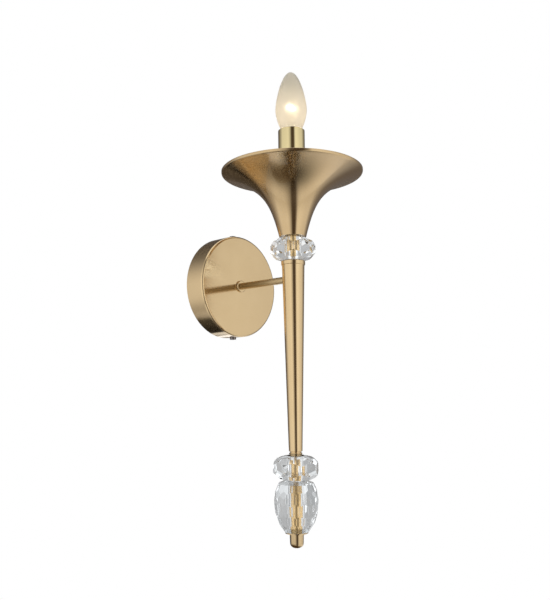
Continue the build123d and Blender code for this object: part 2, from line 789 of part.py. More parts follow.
with BuildPart() as bulb_filament:
    with BuildLine(column_section) as filament_path:
        half_span = lamp_filament_span / 2
        filament_level = belly + lamp_lead_diameter / 2
        ThreePointArc(
            (-half_span, filament_level),
            (0, filament_level + lamp_filament_sag),
            (half_span, filament_level),
        )
    with BuildSketch(Plane(origin=filament_path.line @ 0, z_dir=filament_path.line % 0)):
        Circle(lamp_lead_diameter / 2)
    sweep()
write_piece(bulb_filament, "bulb_filament")

# Terminal block on the strap: moulded body with a brass tube and two screws for each pole
with BuildPart() as terminal_block:
    block_width = (pole_count - 1) * pole_pitch + tower_diameter + 2 * block_side_wall
    block_middle = -block_drop - block_height / 2
    with BuildSketch(facing(strap_thickness)):
        with Locations((0, block_middle)):
            RectangleRounded(block_width, block_height, block_side_wall)
    extrude(amount=block_depth)
    with BuildSketch(facing(strap_thickness + block_depth)):
        with Locations([(x, z) for x in pole_places for z in pole_screw_levels]):
            Circle(tower_diameter / 2)
    extrude(amount=tower_height)
    with BuildSketch(facing(strap_thickness)):
        with GridLocations(pole_pitch, 0, 2, 1):
            with Locations((0, block_middle)):
                Circle(peg_diameter / 2)
    extrude(amount=-strap_thickness + slip)
    with BuildSketch(Plane(origin=(0, -pole_out, block_bottom))):
        with Locations([(x, 0) for x in pole_places]):
            Circle(pole_tube_diameter / 2 + thread_gap)
    extrude(amount=block_height, mode=Mode.SUBTRACT)
    with BuildSketch(facing(pole_out)):
        with Locations([(x, z) for x in pole_places for z in pole_screw_levels]):
            Circle(pole_screw_diameter / 2 + slip)
    extrude(amount=block_depth + tower_height, mode=Mode.SUBTRACT)
write_piece(terminal_block, "terminal_block")

with BuildPart() as terminal_tubes:
    with BuildSketch(Plane(origin=(0, -pole_out, block_bottom + pole_tube_recess))):
        with Locations([(x, 0) for x in pole_places]):
            Circle(pole_tube_diameter / 2)
            Circle(pole_tube_bore / 2, mode=Mode.SUBTRACT)
    extrude(amount=block_height - 2 * pole_tube_recess)
    with BuildSketch(facing(pole_out)):
        with Locations([(x, z) for x in pole_places for z in pole_screw_levels]):
            Circle(pole_screw_diameter / 2 + thread_gap)
    extrude(amount=pole_tube_diameter, mode=Mode.SUBTRACT)
write_piece(terminal_tubes, "terminal_tubes")

with BuildPart() as terminal_screws:
    screw_tip = pole_out + wire_diameter / 2 + slip
    screw_head = strap_thickness + block_depth + tower_height - pole_tube_recess
    with BuildSketch(facing(screw_tip)):
        with Locations([(x, z) for x in pole_places for z in pole_screw_levels]):
            Circle(pole_screw_diameter / 2)
    extrude(amount=screw_head - screw_tip)
    with BuildSketch(facing(screw_head)):
        with Locations([(x, z) for x in pole_places for z in pole_screw_levels]):
            Rectangle(pole_screw_diameter, pole_screw_diameter / 4)
    extrude(amount=-pole_screw_diameter / 4, mode=Mode.SUBTRACT)
write_piece(terminal_screws, "terminal_screws")

# Wires: from the block into the arm, round the corner in the joint block and up to the lampholder
wire_start = -block_drop - wire_into_pole
wire_ends = {"live_wire": (-1, pole_places[0]), "neutral_wire": (1, pole_places[1])}
for name, (side, pole_x) in wire_ends.items():
    lane = side * wire_spread / 2
    terminal_x = side * holder_terminal_spread
    spread_start = holder_bottom + wire_bend / 2
    spread_end = terminal_bottom - wire_bend
    with BuildPart() as wire:
        with BuildLine() as route:
            FilletPolyline(
                (pole_x, -pole_out, wire_start),
                (pole_x, -pole_out, wire_bend - block_drop + wire_diameter),
                (lane, -arm_rear_out + wire_bend, 0),
                (lane, -wall_to_axis, 0),
                (lane, -wall_to_axis, spread_start),
                (terminal_x, -wall_to_axis, spread_end),
                (terminal_x, -wall_to_axis, terminal_bottom + holder_terminal_height / 2),
                radius=[wire_bend, wire_bend, wire_bend, wire_bend / 2, wire_bend / 2],
            )
        with BuildSketch(Plane(origin=route.line @ 0, z_dir=route.line % 0)):
            Circle(wire_diameter / 2)
        sweep()
    write_piece(wire, name)

# Earth point on the strap: ring tag under a screw, with its wire to the third pole
earth_x = pole_places[-1]
tag_out = strap_thickness + earth_barrel_diameter / 2
barrel_end = earth_screw_height - earth_head_diameter / 2 - slip
barrel_start = barrel_end - earth_barrel_length
with BuildPart() as earth_tag:
    with BuildSketch(facing(strap_thickness)):
        with Locations((earth_x, earth_screw_height)):
            Circle(earth_tag_diameter / 2)
            Circle(side_screw_diameter / 2 + slip, mode=Mode.SUBTRACT)
    extrude(amount=earth_tag_thickness)
    with BuildSketch(Plane(origin=(earth_x, -tag_out, barrel_start))):
        Circle(earth_barrel_diameter / 2)
    extrude(amount=earth_barrel_length)
write_piece(earth_tag, "earth_tag")

with BuildPart() as earth_screw:
    head_seat = strap_thickness + earth_tag_thickness
    with BuildSketch(facing(head_seat)):
        with Locations((earth_x, earth_screw_height)):
            Circle(earth_head_diameter / 2)
    extrude(amount=earth_head_height)
    fillet(earth_screw.edges().sort_by(Axis.Y)[0], earth_head_height / 3)
    with BuildSketch(facing(head_seat)):
        with Locations((earth_x, earth_screw_height)):
            Circle(side_screw_diameter / 2)
    extrude(amount=-head_seat + slip)
    with BuildSketch(facing(head_seat + earth_head_height)):
        with Locations((earth_x, earth_screw_height)):
            Rectangle(earth_head_diameter, earth_head_height / 3)
    extrude(amount=-earth_head_height / 3, mode=Mode.SUBTRACT)
write_piece(earth_screw, "earth_screw")

with BuildPart() as earth_wire:
    with BuildLine() as earth_route:
        FilletPolyline(
            (earth_x, -pole_out, wire_start),
            (earth_x, -pole_out, barrel_start - 3 * wire_bend),
            (earth_x, -tag_out, barrel_start - wire_bend),
            (earth_x, -tag_out, barrel_start),
            radius=[wire_bend, wire_bend],
        )
    with BuildSketch(Plane(origin=earth_route.line @ 0, z_dir=earth_route.line % 0)):
        Circle(wire_diameter / 2)
    sweep()
write_piece(earth_wire, "earth_wire")
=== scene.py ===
import logging
import math
from collections.abc import Callable, Sequence
from dataclasses import dataclass
from enum import Enum
from typing import ClassVar

import bpy
from mathutils import Matrix, Vector
from mathutils.geometry import interpolate_bezier


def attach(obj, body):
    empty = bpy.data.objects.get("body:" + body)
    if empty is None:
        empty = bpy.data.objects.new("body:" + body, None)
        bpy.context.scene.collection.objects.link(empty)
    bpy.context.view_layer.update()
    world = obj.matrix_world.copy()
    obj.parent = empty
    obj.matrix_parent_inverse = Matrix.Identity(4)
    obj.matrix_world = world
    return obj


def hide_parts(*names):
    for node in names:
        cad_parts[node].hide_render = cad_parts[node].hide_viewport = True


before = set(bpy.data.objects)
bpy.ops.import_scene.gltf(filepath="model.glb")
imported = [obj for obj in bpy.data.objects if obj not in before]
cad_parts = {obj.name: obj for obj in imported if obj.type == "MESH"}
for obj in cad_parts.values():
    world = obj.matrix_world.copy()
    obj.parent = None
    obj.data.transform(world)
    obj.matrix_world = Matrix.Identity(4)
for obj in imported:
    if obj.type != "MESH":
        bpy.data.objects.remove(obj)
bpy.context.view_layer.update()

# Wall sconce: satin brass canopy, arm, column and bell, three cut crystals and a lit candle lamp.
# Metres in the frame, millimetres in the sizes below. The wall is Y = 0 and the light stands out to -Y.

log = logging.getLogger("wall_sconce")

Point = tuple[float, float]
Stops = tuple[Point, ...]
Inputs = dict[str, object]
Object = bpy.types.Object
Material = bpy.types.Material
Tree = bpy.types.NodeTree
Socket = bpy.types.NodeSocket

MM = 0.001
WELD = 2e-6
WHITE = "FFFFFF"
COLUMN_OUT = 110.0
AXIS = Vector((0, -COLUMN_OUT * MM, 0))
# Most of a noise's values lie between these two.
NOISE_BAND = (0.3, 0.7)
GRIT_MM = 0.05
# Faces round a wide piece, which shows its outline.
WIDE_STEPS = 144


def axis_at(height: float) -> Vector:
    """Give the place on the column's axis at a height, in metres."""
    return AXIS + Vector((0, 0, height))


def linear(colour: str) -> tuple[float, float, float, float]:
    """Turn an sRGB hex colour into linear light.

    Args:
        colour: Six hex digits.

    Returns:
        Linear red, green and blue, with full alpha.
    """
    shares = [int(colour[at:at + 2], 16) / 255 for at in (0, 2, 4)]
    return (*[s / 12.92 if s <= 0.04045 else ((s + 0.055) / 1.055) ** 2.4 for s in shares], 1.0)


def add_node(
    tree: Tree, kind: str, inputs: dict[str | int, object] | None = None, give: str | int = 0,
    **settings: object,
) -> Socket | None:
    """Add a node with its settings and links.

    Args:
        tree: The material's or the world's node tree.
        kind: Blender's name for the node, without its prefix.
        inputs: A value, or another node's output, for each named or numbered input.
        give: The output to return, by name or number.
        settings: Values of the node's own properties.

    Returns:
        The new node's output, if it has any.
    """
    node = tree.nodes.new("ShaderNode" + kind)
    for name, value in settings.items():
        setattr(node, name, value)
    for socket, value in (inputs or {}).items():
        if isinstance(value, Socket):
            tree.links.new(value, node.inputs[socket])
        else:
            node.inputs[socket].default_value = value
    return node.outputs[give] if node.outputs else None


def new_material(name: str) -> tuple[Material, Tree]:
    """Start a material with an empty tree.

    Args:
        name: The finish, in a maker's words.

    Returns:
        The material and its node tree.
    """
    material = bpy.data.materials.new(name)
    material.use_nodes = True
    material.node_tree.nodes.clear()
    return material, material.node_tree


class Lay(Enum):
    """The line that a piece was turned or spun round, with the axis that Blender's tangent takes."""

    COLUMN = "Z"
    CANOPY = "Y"


class Finish:
    """A surface finish, made once as a material and shared by the pieces that have it."""

    name: str

    def inputs(self, tree: Tree) -> Inputs:
        """Build the finish's patterns, and give the shader's inputs by name."""
        raise NotImplementedError

    def material(self) -> Material:
        """Give the material, made on first use.

        Returns:
            The material.
        """
        if self not in MADE:
            MADE[self], tree = new_material(self.name)
            surface = add_node(tree, "BsdfPrincipled", self.inputs(tree))
            add_node(tree, "OutputMaterial", {"Surface": surface})
        return MADE[self]


Finishes = dict[Finish, tuple[str, ...]]
MADE: dict[Finish, Material] = {}


@dataclass(frozen=True)
class SpunBrass(Finish):
    """Brass spun or turned on a lathe, then brushed or polished on it.

    The fine rings that the brush leaves stretch each reflection along the axis, so that a soft lamp
    shows as a clean upright band on the column and as a faint fan on the canopy's face.
    """

    name: str
    colour: str
    shade: str
    roughness: float
    anisotropy: float
    lay: Lay
    lacquer: float = 1.0
    # A brush leaves rings about 0.1 mm apart. They are drawn coarser, so that they show.
    ring_mm: float = 0.9
    cloud_mm: float = 26.0
    ring_depth: float = 0.03
    lacquer_roughness: float = 0.12
    ring_share: ClassVar[float] = 0.5
    band: ClassVar[Point] = (0.45, 1.05)
    swing: ClassVar[Point] = (0.86, 1.14)
    ring_bump_mm: ClassVar[float] = 0.02
    across_lay: ClassVar[float] = 0.25
    lacquer_ior: ClassVar[float] = 1.48

    def inputs(self, tree: Tree) -> Inputs:
        """Build the rings and the faint clouding, and give the metal's inputs.

        Args:
            tree: The material's node tree.

        Returns:
            The shader's inputs by name.
        """
        place = add_node(tree, "TexCoord", give="Object")
        if self.lay is Lay.COLUMN:
            place = add_node(tree, "Mapping", {"Vector": place, "Location": -AXIS})
        parts = add_node(tree, "SeparateXYZ", {0: place}).node.outputs
        across, along = (parts[1], parts[2]) if self.lay is Lay.COLUMN else (parts[2], parts[1])
        flat = add_node(tree, "CombineXYZ", {0: parts[0], 1: across})
        out = add_node(tree, "VectorMath", {0: flat}, operation="LENGTH", give="Value")
        ring_place = add_node(tree, "CombineXYZ", {0: out, 1: along})
        rings, cloud = [
            add_node(tree, "TexNoise", {"Vector": where, "Scale": 1 / (size * MM), "Detail": detail})
            for where, size, detail in ((ring_place, self.ring_mm, 3.0), (place, self.cloud_mm, 2.0))]
        both = add_node(tree, "Math", {0: rings, 1: self.ring_share, 2: cloud}, operation="MULTIPLY_ADD")
        rough = add_node(tree, "MapRange", {
            0: both, 1: self.band[0], 2: self.band[1],
            3: self.roughness * self.swing[0], 4: self.roughness * self.swing[1]})
        tint = add_node(tree, "Mix", {0: cloud, 6: linear(self.colour), 7: linear(self.shade)},
                        data_type="RGBA", give=2)
        bump = add_node(tree, "Bump", {
            "Strength": self.ring_depth, "Distance": self.ring_bump_mm * MM, "Height": rings})
        tangent = add_node(tree, "Tangent", direction_type="RADIAL", axis=self.lay.value)
        return {
            "Base Color": tint, "Metallic": 1.0, "Roughness": rough, "Normal": bump,
            "Anisotropic": self.anisotropy, "Anisotropic Rotation": self.across_lay, "Tangent": tangent,
            "Coat Weight": self.lacquer, "Coat Roughness": self.lacquer_roughness,
            "Coat IOR": self.lacquer_ior}


@dataclass(frozen=True)
class Mottled(Finish):
    """A finish whose colour and shine vary a little over a fine cloudy grain."""

    name: str
    colour: str
    shade: str
    roughness: float
    grain_mm: float
    detail: ClassVar[float]
    band: ClassVar[Point] = NOISE_BAND
    swing: ClassVar[Point]
    grit_depth: ClassVar[float] = 0.0

    def inputs(self, tree: Tree) -> Inputs:
        """Build the grain, and give the colour, roughness and grit that follow it.

        Args:
            tree: The material's node tree.

        Returns:
            The shader's inputs by name.
        """
        place = add_node(tree, "TexCoord", give="Object")
        grain = add_node(tree, "TexNoise", {
            "Vector": place, "Scale": 1 / (self.grain_mm * MM), "Detail": self.detail})
        tint = add_node(tree, "Mix", {0: grain, 6: linear(self.colour), 7: linear(self.shade)},
                        data_type="RGBA", give=2)
        rough = add_node(tree, "MapRange", {
            0: grain, 1: self.band[0], 2: self.band[1],
            3: self.roughness * self.swing[0], 4: self.roughness * self.swing[1]})
        inputs = {"Base Color": tint, "Roughness": rough}
        if self.grit_depth:
            inputs["Normal"] = add_node(tree, "Bump", {
                "Strength": self.grit_depth, "Distance": GRIT_MM * MM, "Height": grain})
        return inputs


@dataclass(frozen=True)
class PlainMetal(Mottled):
    """Plated, cast or drawn metal with no lay: a little cloudy, with fine grit in its shine."""

    detail: ClassVar[float] = 4.0
    swing: ClassVar[Point] = (0.8, 1.2)
    grit_depth: ClassVar[float] = 0.06

    def inputs(self, tree: Tree) -> Inputs:
        """Give the clouding, the grit and the metal."""
        return super().inputs(tree) | {"Metallic": 1.0}


@dataclass(frozen=True)
class MouldedPlastic(Mottled):
    """Moulded thermoset, nylon or PVC insulation: a soft shine over a fine moulded texture."""

    detail: ClassVar[float] = 3.0
    swing: ClassVar[Point] = (0.85, 1.15)
    grit_depth: ClassVar[float] = 0.15
    ior: ClassVar[float] = 1.5

    def inputs(self, tree: Tree) -> Inputs:
        """Give the moulded texture and the plastic."""
        return super().inputs(tree) | {"IOR": self.ior}


@dataclass(frozen=True)
class ClearGlass(Mottled):
    """Clear crystal, lamp glass or soft PVC: see-through, with a trace of haze in its polish."""

    ior: float
    detail: ClassVar[float] = 2.0
    band: ClassVar[Point] = (0.35, 0.75)
    swing: ClassVar[Point] = (0.0, 1.0)

    def inputs(self, tree: Tree) -> Inputs:
        """Give the polish haze and the glass."""
        return super().inputs(tree) | {"IOR": self.ior, "Transmission Weight": 1.0}


@dataclass(frozen=True)
class FrostedGlass(Finish):
    """Lamp glass etched inside, with the lamp lit behind it.

    The etch blurs the filament to a soft white patch. The light that it scatters makes the whole glass
    glow a little, most at the filament's height.
    """

    name: str
    colour: str
    glow: str
    roughness: float
    glow_height_mm: float
    glow_reach_mm: float
    glow_strength: float
    etch_mm: float = 0.8
    swing: ClassVar[Point] = (0.92, 1.08)
    ior: ClassVar[float] = 1.5

    def inputs(self, tree: Tree) -> Inputs:
        """Build the etch and the glow, and give the glass's inputs.

        Args:
            tree: The material's node tree.

        Returns:
            The shader's inputs by name.
        """
        place = add_node(tree, "TexCoord", give="Object")
        etch = add_node(tree, "TexNoise", {"Vector": place, "Scale": 1 / (self.etch_mm * MM), "Detail": 3.0})
        rough = add_node(tree, "MapRange", {
            0: etch, 1: NOISE_BAND[0], 2: NOISE_BAND[1],
            3: self.roughness * self.swing[0], 4: self.roughness * self.swing[1]})
        height = add_node(tree, "SeparateXYZ", {0: place}, give=2)
        off = add_node(tree, "Math", {0: height, 1: self.glow_height_mm * MM}, operation="SUBTRACT")
        away = add_node(tree, "Math", {0: off}, operation="ABSOLUTE")
        glow = add_node(tree, "MapRange", {
            0: away, 1: 0.0, 2: self.glow_reach_mm * MM, 3: self.glow_strength, 4: 0.0,
        }, interpolation_type="SMOOTHERSTEP")
        return {
            "Base Color": linear(self.colour), "Roughness": rough, "IOR": self.ior,
            "Transmission Weight": 1.0, "Emission Color": linear(self.glow), "Emission Strength": glow}


@dataclass(frozen=True)
class HotWire(Finish):
    """Drawn tungsten at white heat: a warm white light, a little uneven along the wire."""

    name: str
    colour: str
    strength: float
    grain_mm: float
    metal: str = "8E8C89"
    roughness: float = 0.35
    coolest: float = 0.85

    def inputs(self, tree: Tree) -> Inputs:
        """Build the uneven heat, and give the wire's inputs.

        Args:
            tree: The material's node tree.

        Returns:
            The shader's inputs by name.
        """
        place = add_node(tree, "TexCoord", give="Object")
        grain = add_node(tree, "TexNoise", {
            "Vector": place, "Scale": 1 / (self.grain_mm * MM), "Detail": 2.0})
        heat = add_node(tree, "MapRange", {
            0: grain, 1: NOISE_BAND[0], 2: NOISE_BAND[1],
            3: self.strength * self.coolest, 4: self.strength})
        return {
            "Base Color": linear(self.metal), "Metallic": 1.0, "Roughness": self.roughness,
            "Emission Color": linear(self.colour), "Emission Strength": heat}


# Satin brass: lacquered, brushed on the lathe, so lamps show as soft-edged bands.
SATIN_COLUMN = SpunBrass("satin_brass_column", "E6CA9A", "E0C290", 0.17, 0.9, Lay.COLUMN)
SATIN_CANOPY = SpunBrass("satin_brass_canopy", "E6CA9A", "E0C290", 0.17, 0.9, Lay.CANOPY)
# The arm is drawn tube, coarser and browner than the spun pieces, so it mirrors only as a warm blur.
SATIN_ARM = SpunBrass("satin_brass_arm", "D2B888", "CAAE7C", 0.32, 0.5, Lay.CANOPY)
# The bell is spun and brushed finer, so its bands are sharper.
SATIN_BELL = SpunBrass("satin_brass_bell", "DABD8E", "D4B584", 0.18, 1.0, Lay.COLUMN, ring_depth=0.02,
                       lacquer_roughness=0.05)
# Polished brass: yellower and mirror-like, with hard-edged bands.
POLISHED = SpunBrass("polished_brass_tube", "FAE8B0", "F6E2A6", 0.07, 0.3, Lay.COLUMN, ring_depth=0.02)
# The tubes inside the crystals: drawn brass, left bright but browner than the sleeve.
CORE = SpunBrass("drawn_brass_core", "DDB980", "D2AB70", 0.2, 0.5, Lay.COLUMN, lacquer=0.0)
# Turned brass stock without lacquer: yellow, with a soft shine.
TURNED = PlainMetal("turned_brass_stock", "DDBE7C", "CDAA64", 0.3, 1.2)
# Zinc plate on steel: pale blue-grey, clouded by its crystals.
ZINC = PlainMetal("zinc_plated_steel", "D6D9DC", "B6BABD", 0.3, 4.0)
# Nickel plate: a warm silver. Black nickel on the rim screws: a dark, smoky shine.
NICKEL = PlainMetal("nickel_plate", "CFCABF", "C2BCB0", 0.22, 2.0)
BLACK_NICKEL = PlainMetal("black_nickel_plate", "8C8583", "7A7371", 0.24, 2.0)
# Tin solder: dull grey, as it froze.
SOLDER = PlainMetal("tin_solder", "B4B4B2", "9C9C9A", 0.42, 0.9)
# Lead crystal: bends light strongly, so every flat shows another piece of the room.
CRYSTAL = ClearGlass("cut_crystal", "F4F7F9", "ECF1F4", 0.08, 9.0, 1.54)
# Drawn lamp glass is clear with a trace of green, and soft PVC is a little milky.
LAMP_GLASS = ClearGlass("clear_lamp_glass", "F6FAF8", "EDF4F1", 0.04, 6.0, 1.5)
GASKET = ClearGlass("clear_soft_pvc", "F4F6F2", "E8ECE6", 0.25, 4.0, 1.46)
# Etched lamp glass: a warm white veil with a bright patch where the filament is.
FROSTED = FrostedGlass("frosted_lamp_glass", "FBF6E8", "FFE9CC", 0.5, 186.0, 56.0, 0.09)
# Black glass in the lamp's cap shines. Moulded thermoset and nylon have a satin skin.
BLACK_GLASS = MouldedPlastic("black_cap_glass", "0E0E11", "17171B", 0.12, 1.0)
THERMOSET = MouldedPlastic("black_thermoset", "1C1C1D", "262627", 0.4, 0.7)
NYLON = MouldedPlastic("natural_nylon", "E4E3DA", "DAD8CC", 0.42, 0.8)
# PVC insulation: plain wire colours with a waxy shine.
BROWN_PVC = MouldedPlastic("brown_insulation", "6E4426", "62391E", 0.38, 0.9)
BLUE_PVC = MouldedPlastic("blue_insulation", "2F5FA8", "274F90", 0.38, 0.9)
GREEN_PVC = MouldedPlastic("green_yellow_insulation", "5E9A33", "C9B935", 0.38, 2.4)
# Tungsten wire at white heat: too bright to show its surface.
TUNGSTEN = HotWire("glowing_tungsten", "FFEED4", 60.0, 1.5)


def add_alone(add: Callable[..., set[str]], **sizes: object) -> Object:
    """Add a primitive with nothing else selected.

    Args:
        add: Blender's operator for the primitive.
        sizes: Its size and place, in metres.

    Returns:
        The new object, in object mode.
    """
    bpy.ops.object.select_all(action="DESELECT")
    add(**sizes)
    return bpy.context.object


def add_start(add: Callable[..., set[str]], name: str, **sizes: object) -> Object:
    """Add the primitive that a piece starts from.

    Args:
        add: Blender's operator for the primitive.
        name: The piece's name.
        sizes: Its size and place, in metres.

    Returns:
        The new object, in edit mode with all of it selected.
    """
    piece = add_alone(add, **sizes)
    piece.name = piece.data.name = name
    bpy.ops.object.mode_set(mode="EDIT")
    bpy.ops.mesh.select_all(action="SELECT")
    return piece


def add_modifier(piece: Object, kind: str, **settings: object) -> None:
    """Add a modifier to the active piece and apply it.

    Args:
        piece: The piece, in object mode.
        kind: Blender's name for the modifier.
        settings: Its values.
    """
    modifier = piece.modifiers.new(kind.lower(), kind)
    for name, value in settings.items():
        setattr(modifier, name, value)
    bpy.ops.object.modifier_apply(modifier=modifier.name)


def take(piece: Object) -> None:
    """Make a piece the only one selected, and the active one.

    Args:
        piece: The piece, in object mode.
    """
    bpy.ops.object.select_all(action="DESELECT")
    piece.select_set(True)
    bpy.context.view_layer.objects.active = piece


def close_up() -> None:
    """Weld the active piece's seams, turn its faces outwards and leave edit mode."""
    bpy.ops.mesh.select_all(action="SELECT")
    bpy.ops.mesh.remove_doubles(threshold=WELD)
    bpy.ops.mesh.normals_make_consistent(inside=False)
    bpy.ops.object.mode_set(mode="OBJECT")


def combine(piece: Object, tool: Object, operation: str) -> None:
    """Cut or trim a piece with a tool, which is then removed.

    Args:
        piece: The piece that stays.
        tool: The shape that cuts it.
        operation: Blender's name for what to do.
    """
    take(piece)
    add_modifier(piece, "BOOLEAN", operation=operation, object=tool, solver="EXACT")
    bpy.data.objects.remove(tool)
    bpy.ops.object.mode_set(mode="EDIT")
    bpy.ops.mesh.select_all(action="SELECT")
    bpy.ops.mesh.dissolve_degenerate(threshold=WELD)
    bpy.ops.object.mode_set(mode="OBJECT")


def arc(centre: Point, radius: float, turn: Point, parts: int) -> list[Point]:
    """Give the corners of an arc in a section.

    Args:
        centre: Radius and height of its centre, in millimetres.
        radius: Its own radius.
        turn: Where it starts and ends, in degrees up from level.
        parts: Straight lines in it.

    Returns:
        Radius and height of each corner.
    """
    start, end = turn
    angles = [math.radians(start + (end - start) * part / parts) for part in range(parts + 1)]
    return [(centre[0] + radius * math.cos(angle), centre[1] + radius * math.sin(angle)) for angle in angles]


def draw_profile(name: str, points: Sequence[Point]) -> Object:
    """Draw an open line in the X-Z plane by extruding a point from place to place.

    Args:
        name: The piece's name.
        points: Radius and height of each corner, in millimetres.

    Returns:
        The new object, in edit mode.
    """
    piece = add_start(bpy.ops.mesh.primitive_plane_add, name, size=MM)
    bpy.ops.mesh.merge(type="CENTER")
    last = (0.0, 0.0)
    for number, point in enumerate(points):
        step = Vector((point[0] - last[0], 0, point[1] - last[1])) * MM
        if number:
            bpy.ops.mesh.extrude_vertices_move(TRANSFORM_OT_translate={"value": step})
        else:
            bpy.ops.transform.translate(value=step)
        last = point
    return piece


def turn_profile(name: str, points: Sequence[Point], steps: int = 64) -> Object:
    """Turn a closed section round the Z axis, as on a lathe.

    Args:
        name: The piece's name.
        points: Radius and height of each corner, in millimetres, in order.
        steps: Faces round the axis.

    Returns:
        The new object, in object mode.
    """
    on_axis = points[0][0] == points[-1][0] == 0
    piece = draw_profile(name, points if on_axis else [*points, points[0]])
    bpy.ops.mesh.select_all(action="SELECT")
    bpy.ops.mesh.spin(steps=steps, angle=2 * math.pi, center=(0, 0, 0), axis=(0, 0, 1))
    close_up()
    return piece


def turn_bar(name: str, radius: float, ends: Point, steps: int = 64) -> Object:
    """Turn a plain round bar, to drill or trim with.

    Args:
        name: The tool's name.
        radius: Its radius, in millimetres.
        ends: Heights of its foot and its top.
        steps: Faces round the axis.

    Returns:
        The bar, in object mode.
    """
    low, high = ends
    return turn_profile(name, [(0, low), (radius, low), (radius, high), (0, high)], steps)


def wind_thread(
    name: str, ends: Point, radii: Point, pitch: float, shape: int, steps: int, wall: float = 0.0,
) -> Object:
    """Wind a screw thread round the Z axis and trim it flat at both ends.

    Args:
        name: The piece's name.
        ends: Heights of its foot and its top, in millimetres.
        radii: Radii at the root and the crest.
        pitch: Rise of one turn.
        shape: Straight lines in one turn's profile: two for a sharp thread, more for a round one.
        steps: Faces in one turn.
        wall: Thickness of a thread rolled in sheet, or nothing for a solid one.

    Returns:
        The new object, in object mode.
    """
    low, high = ends
    root, crest = radii
    waves = [(1 - math.cos(2 * math.pi * part / shape)) / 2 for part in range(shape + 1)]
    piece = draw_profile(name, [
        (root + (crest - root) * wave, low + (part / shape - 1) * pitch) for part, wave in enumerate(waves)])
    bpy.ops.object.mode_set(mode="OBJECT")
    turns = math.ceil((high - low) / pitch) + 2
    add_modifier(piece, "SCREW", axis="Z", steps=steps, render_steps=steps, iterations=turns,
                 screw_offset=pitch * MM)
    bpy.ops.object.mode_set(mode="EDIT")
    close_up()
    if wall:
        add_modifier(piece, "SOLIDIFY", thickness=wall * MM, offset=-1)
        combine(piece, turn_bar("thread_trim", crest + pitch, ends), "INTERSECT")
        return piece
    bpy.ops.object.mode_set(mode="EDIT")
    for height, way in ((low, -1), (high, 1)):
        bpy.ops.mesh.select_all(action="SELECT")
        bpy.ops.mesh.bisect(plane_co=(0, 0, height * MM), plane_no=(0, 0, way), clear_outer=True,
                            use_fill=True, threshold=WELD / 10)
    bpy.ops.object.mode_set(mode="OBJECT")
    return piece


def roll_thread(name: str, ends: Point, radii: Point, wall: float) -> Object:
    """Roll the round E14 thread of a lamp's cap or holder in thin sheet.

    Args:
        name: The piece's name.
        ends: Heights of its foot and its top, in millimetres.
        radii: Radii at the root and the crest.
        wall: Thickness of the sheet.

    Returns:
        The new object, in object mode.
    """
    return wind_thread(name, ends, radii, pitch=2.8222, shape=10, steps=48, wall=wall)


@dataclass(frozen=True)
class Nut:
    """A hexagon nut, chamfered at its corners and at its bore."""

    across_flats: float
    bore: float
    thickness: float
    face_share: ClassVar[float] = 0.475
    chamfer: ClassVar[float] = 30.0
    lead: ClassVar[float] = 0.5

    def make(self, name: str) -> Object:
        """Make the nut standing on Z = 0.

        Args:
            name: The piece's name.

        Returns:
            The nut, in object mode.
        """
        face, corner = self.across_flats * self.face_share, self.across_flats / math.sqrt(3)
        fall = (corner - face) * math.tan(math.radians(self.chamfer))
        top, mouth = self.thickness, self.bore + 2 * self.lead
        nut = add_start(bpy.ops.mesh.primitive_cylinder_add, name, vertices=6, radius=corner * MM,
                        depth=top * MM, location=(0, 0, top / 2 * MM), rotation=(0, 0, math.pi / 6))
        close_up()
        bpy.ops.object.transform_apply()
        disc = turn_profile("nut_chamfer", [
            (0, 0), (face, 0), (corner, fall), (corner, top - fall), (face, top), (0, top)])
        combine(nut, disc, "INTERSECT")
        drill = turn_profile("nut_bore", [
            (0, -self.lead), (mouth, -self.lead), (self.bore, self.lead), (self.bore, top - self.lead),
            (mouth, top + self.lead), (0, top + self.lead)])
        combine(nut, drill, "DIFFERENCE")
        return nut


def seat(piece: Object, finish: Finish, body: str, node: str, smooth: float = 32.0) -> None:
    """Finish a new piece: smooth it, dress it, and let it ride in place of a CAD node.

    Args:
        piece: The piece, in object mode.
        finish: What its surface is.
        body: The CAD body that it moves with.
        node: The node that it stands for.
        smooth: Edges that turn by more than this many degrees stay sharp.
    """
    take(piece)
    bpy.ops.object.transform_apply()
    bpy.ops.object.shade_smooth_by_angle(angle=math.radians(smooth))
    piece.data.materials.clear()
    piece.data.materials.append(finish.material())
    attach(piece, body)
    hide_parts(node)
    log.info("%s built as %s", piece.name, finish.name)


@dataclass
class Upright:
    """An upright rectangle that faces the column, at a bearing round it from the camera."""

    name: str
    bearing: Point
    out_m: float
    low_m: float
    high_m: float


@dataclass
class SoftPanel(Upright):
    """A soft lamp that lights matt surfaces."""

    radiance: float


@dataclass
class Card(Upright):
    """A card that only mirrors and glass see."""

    shade: str
    strength: float = 1.0


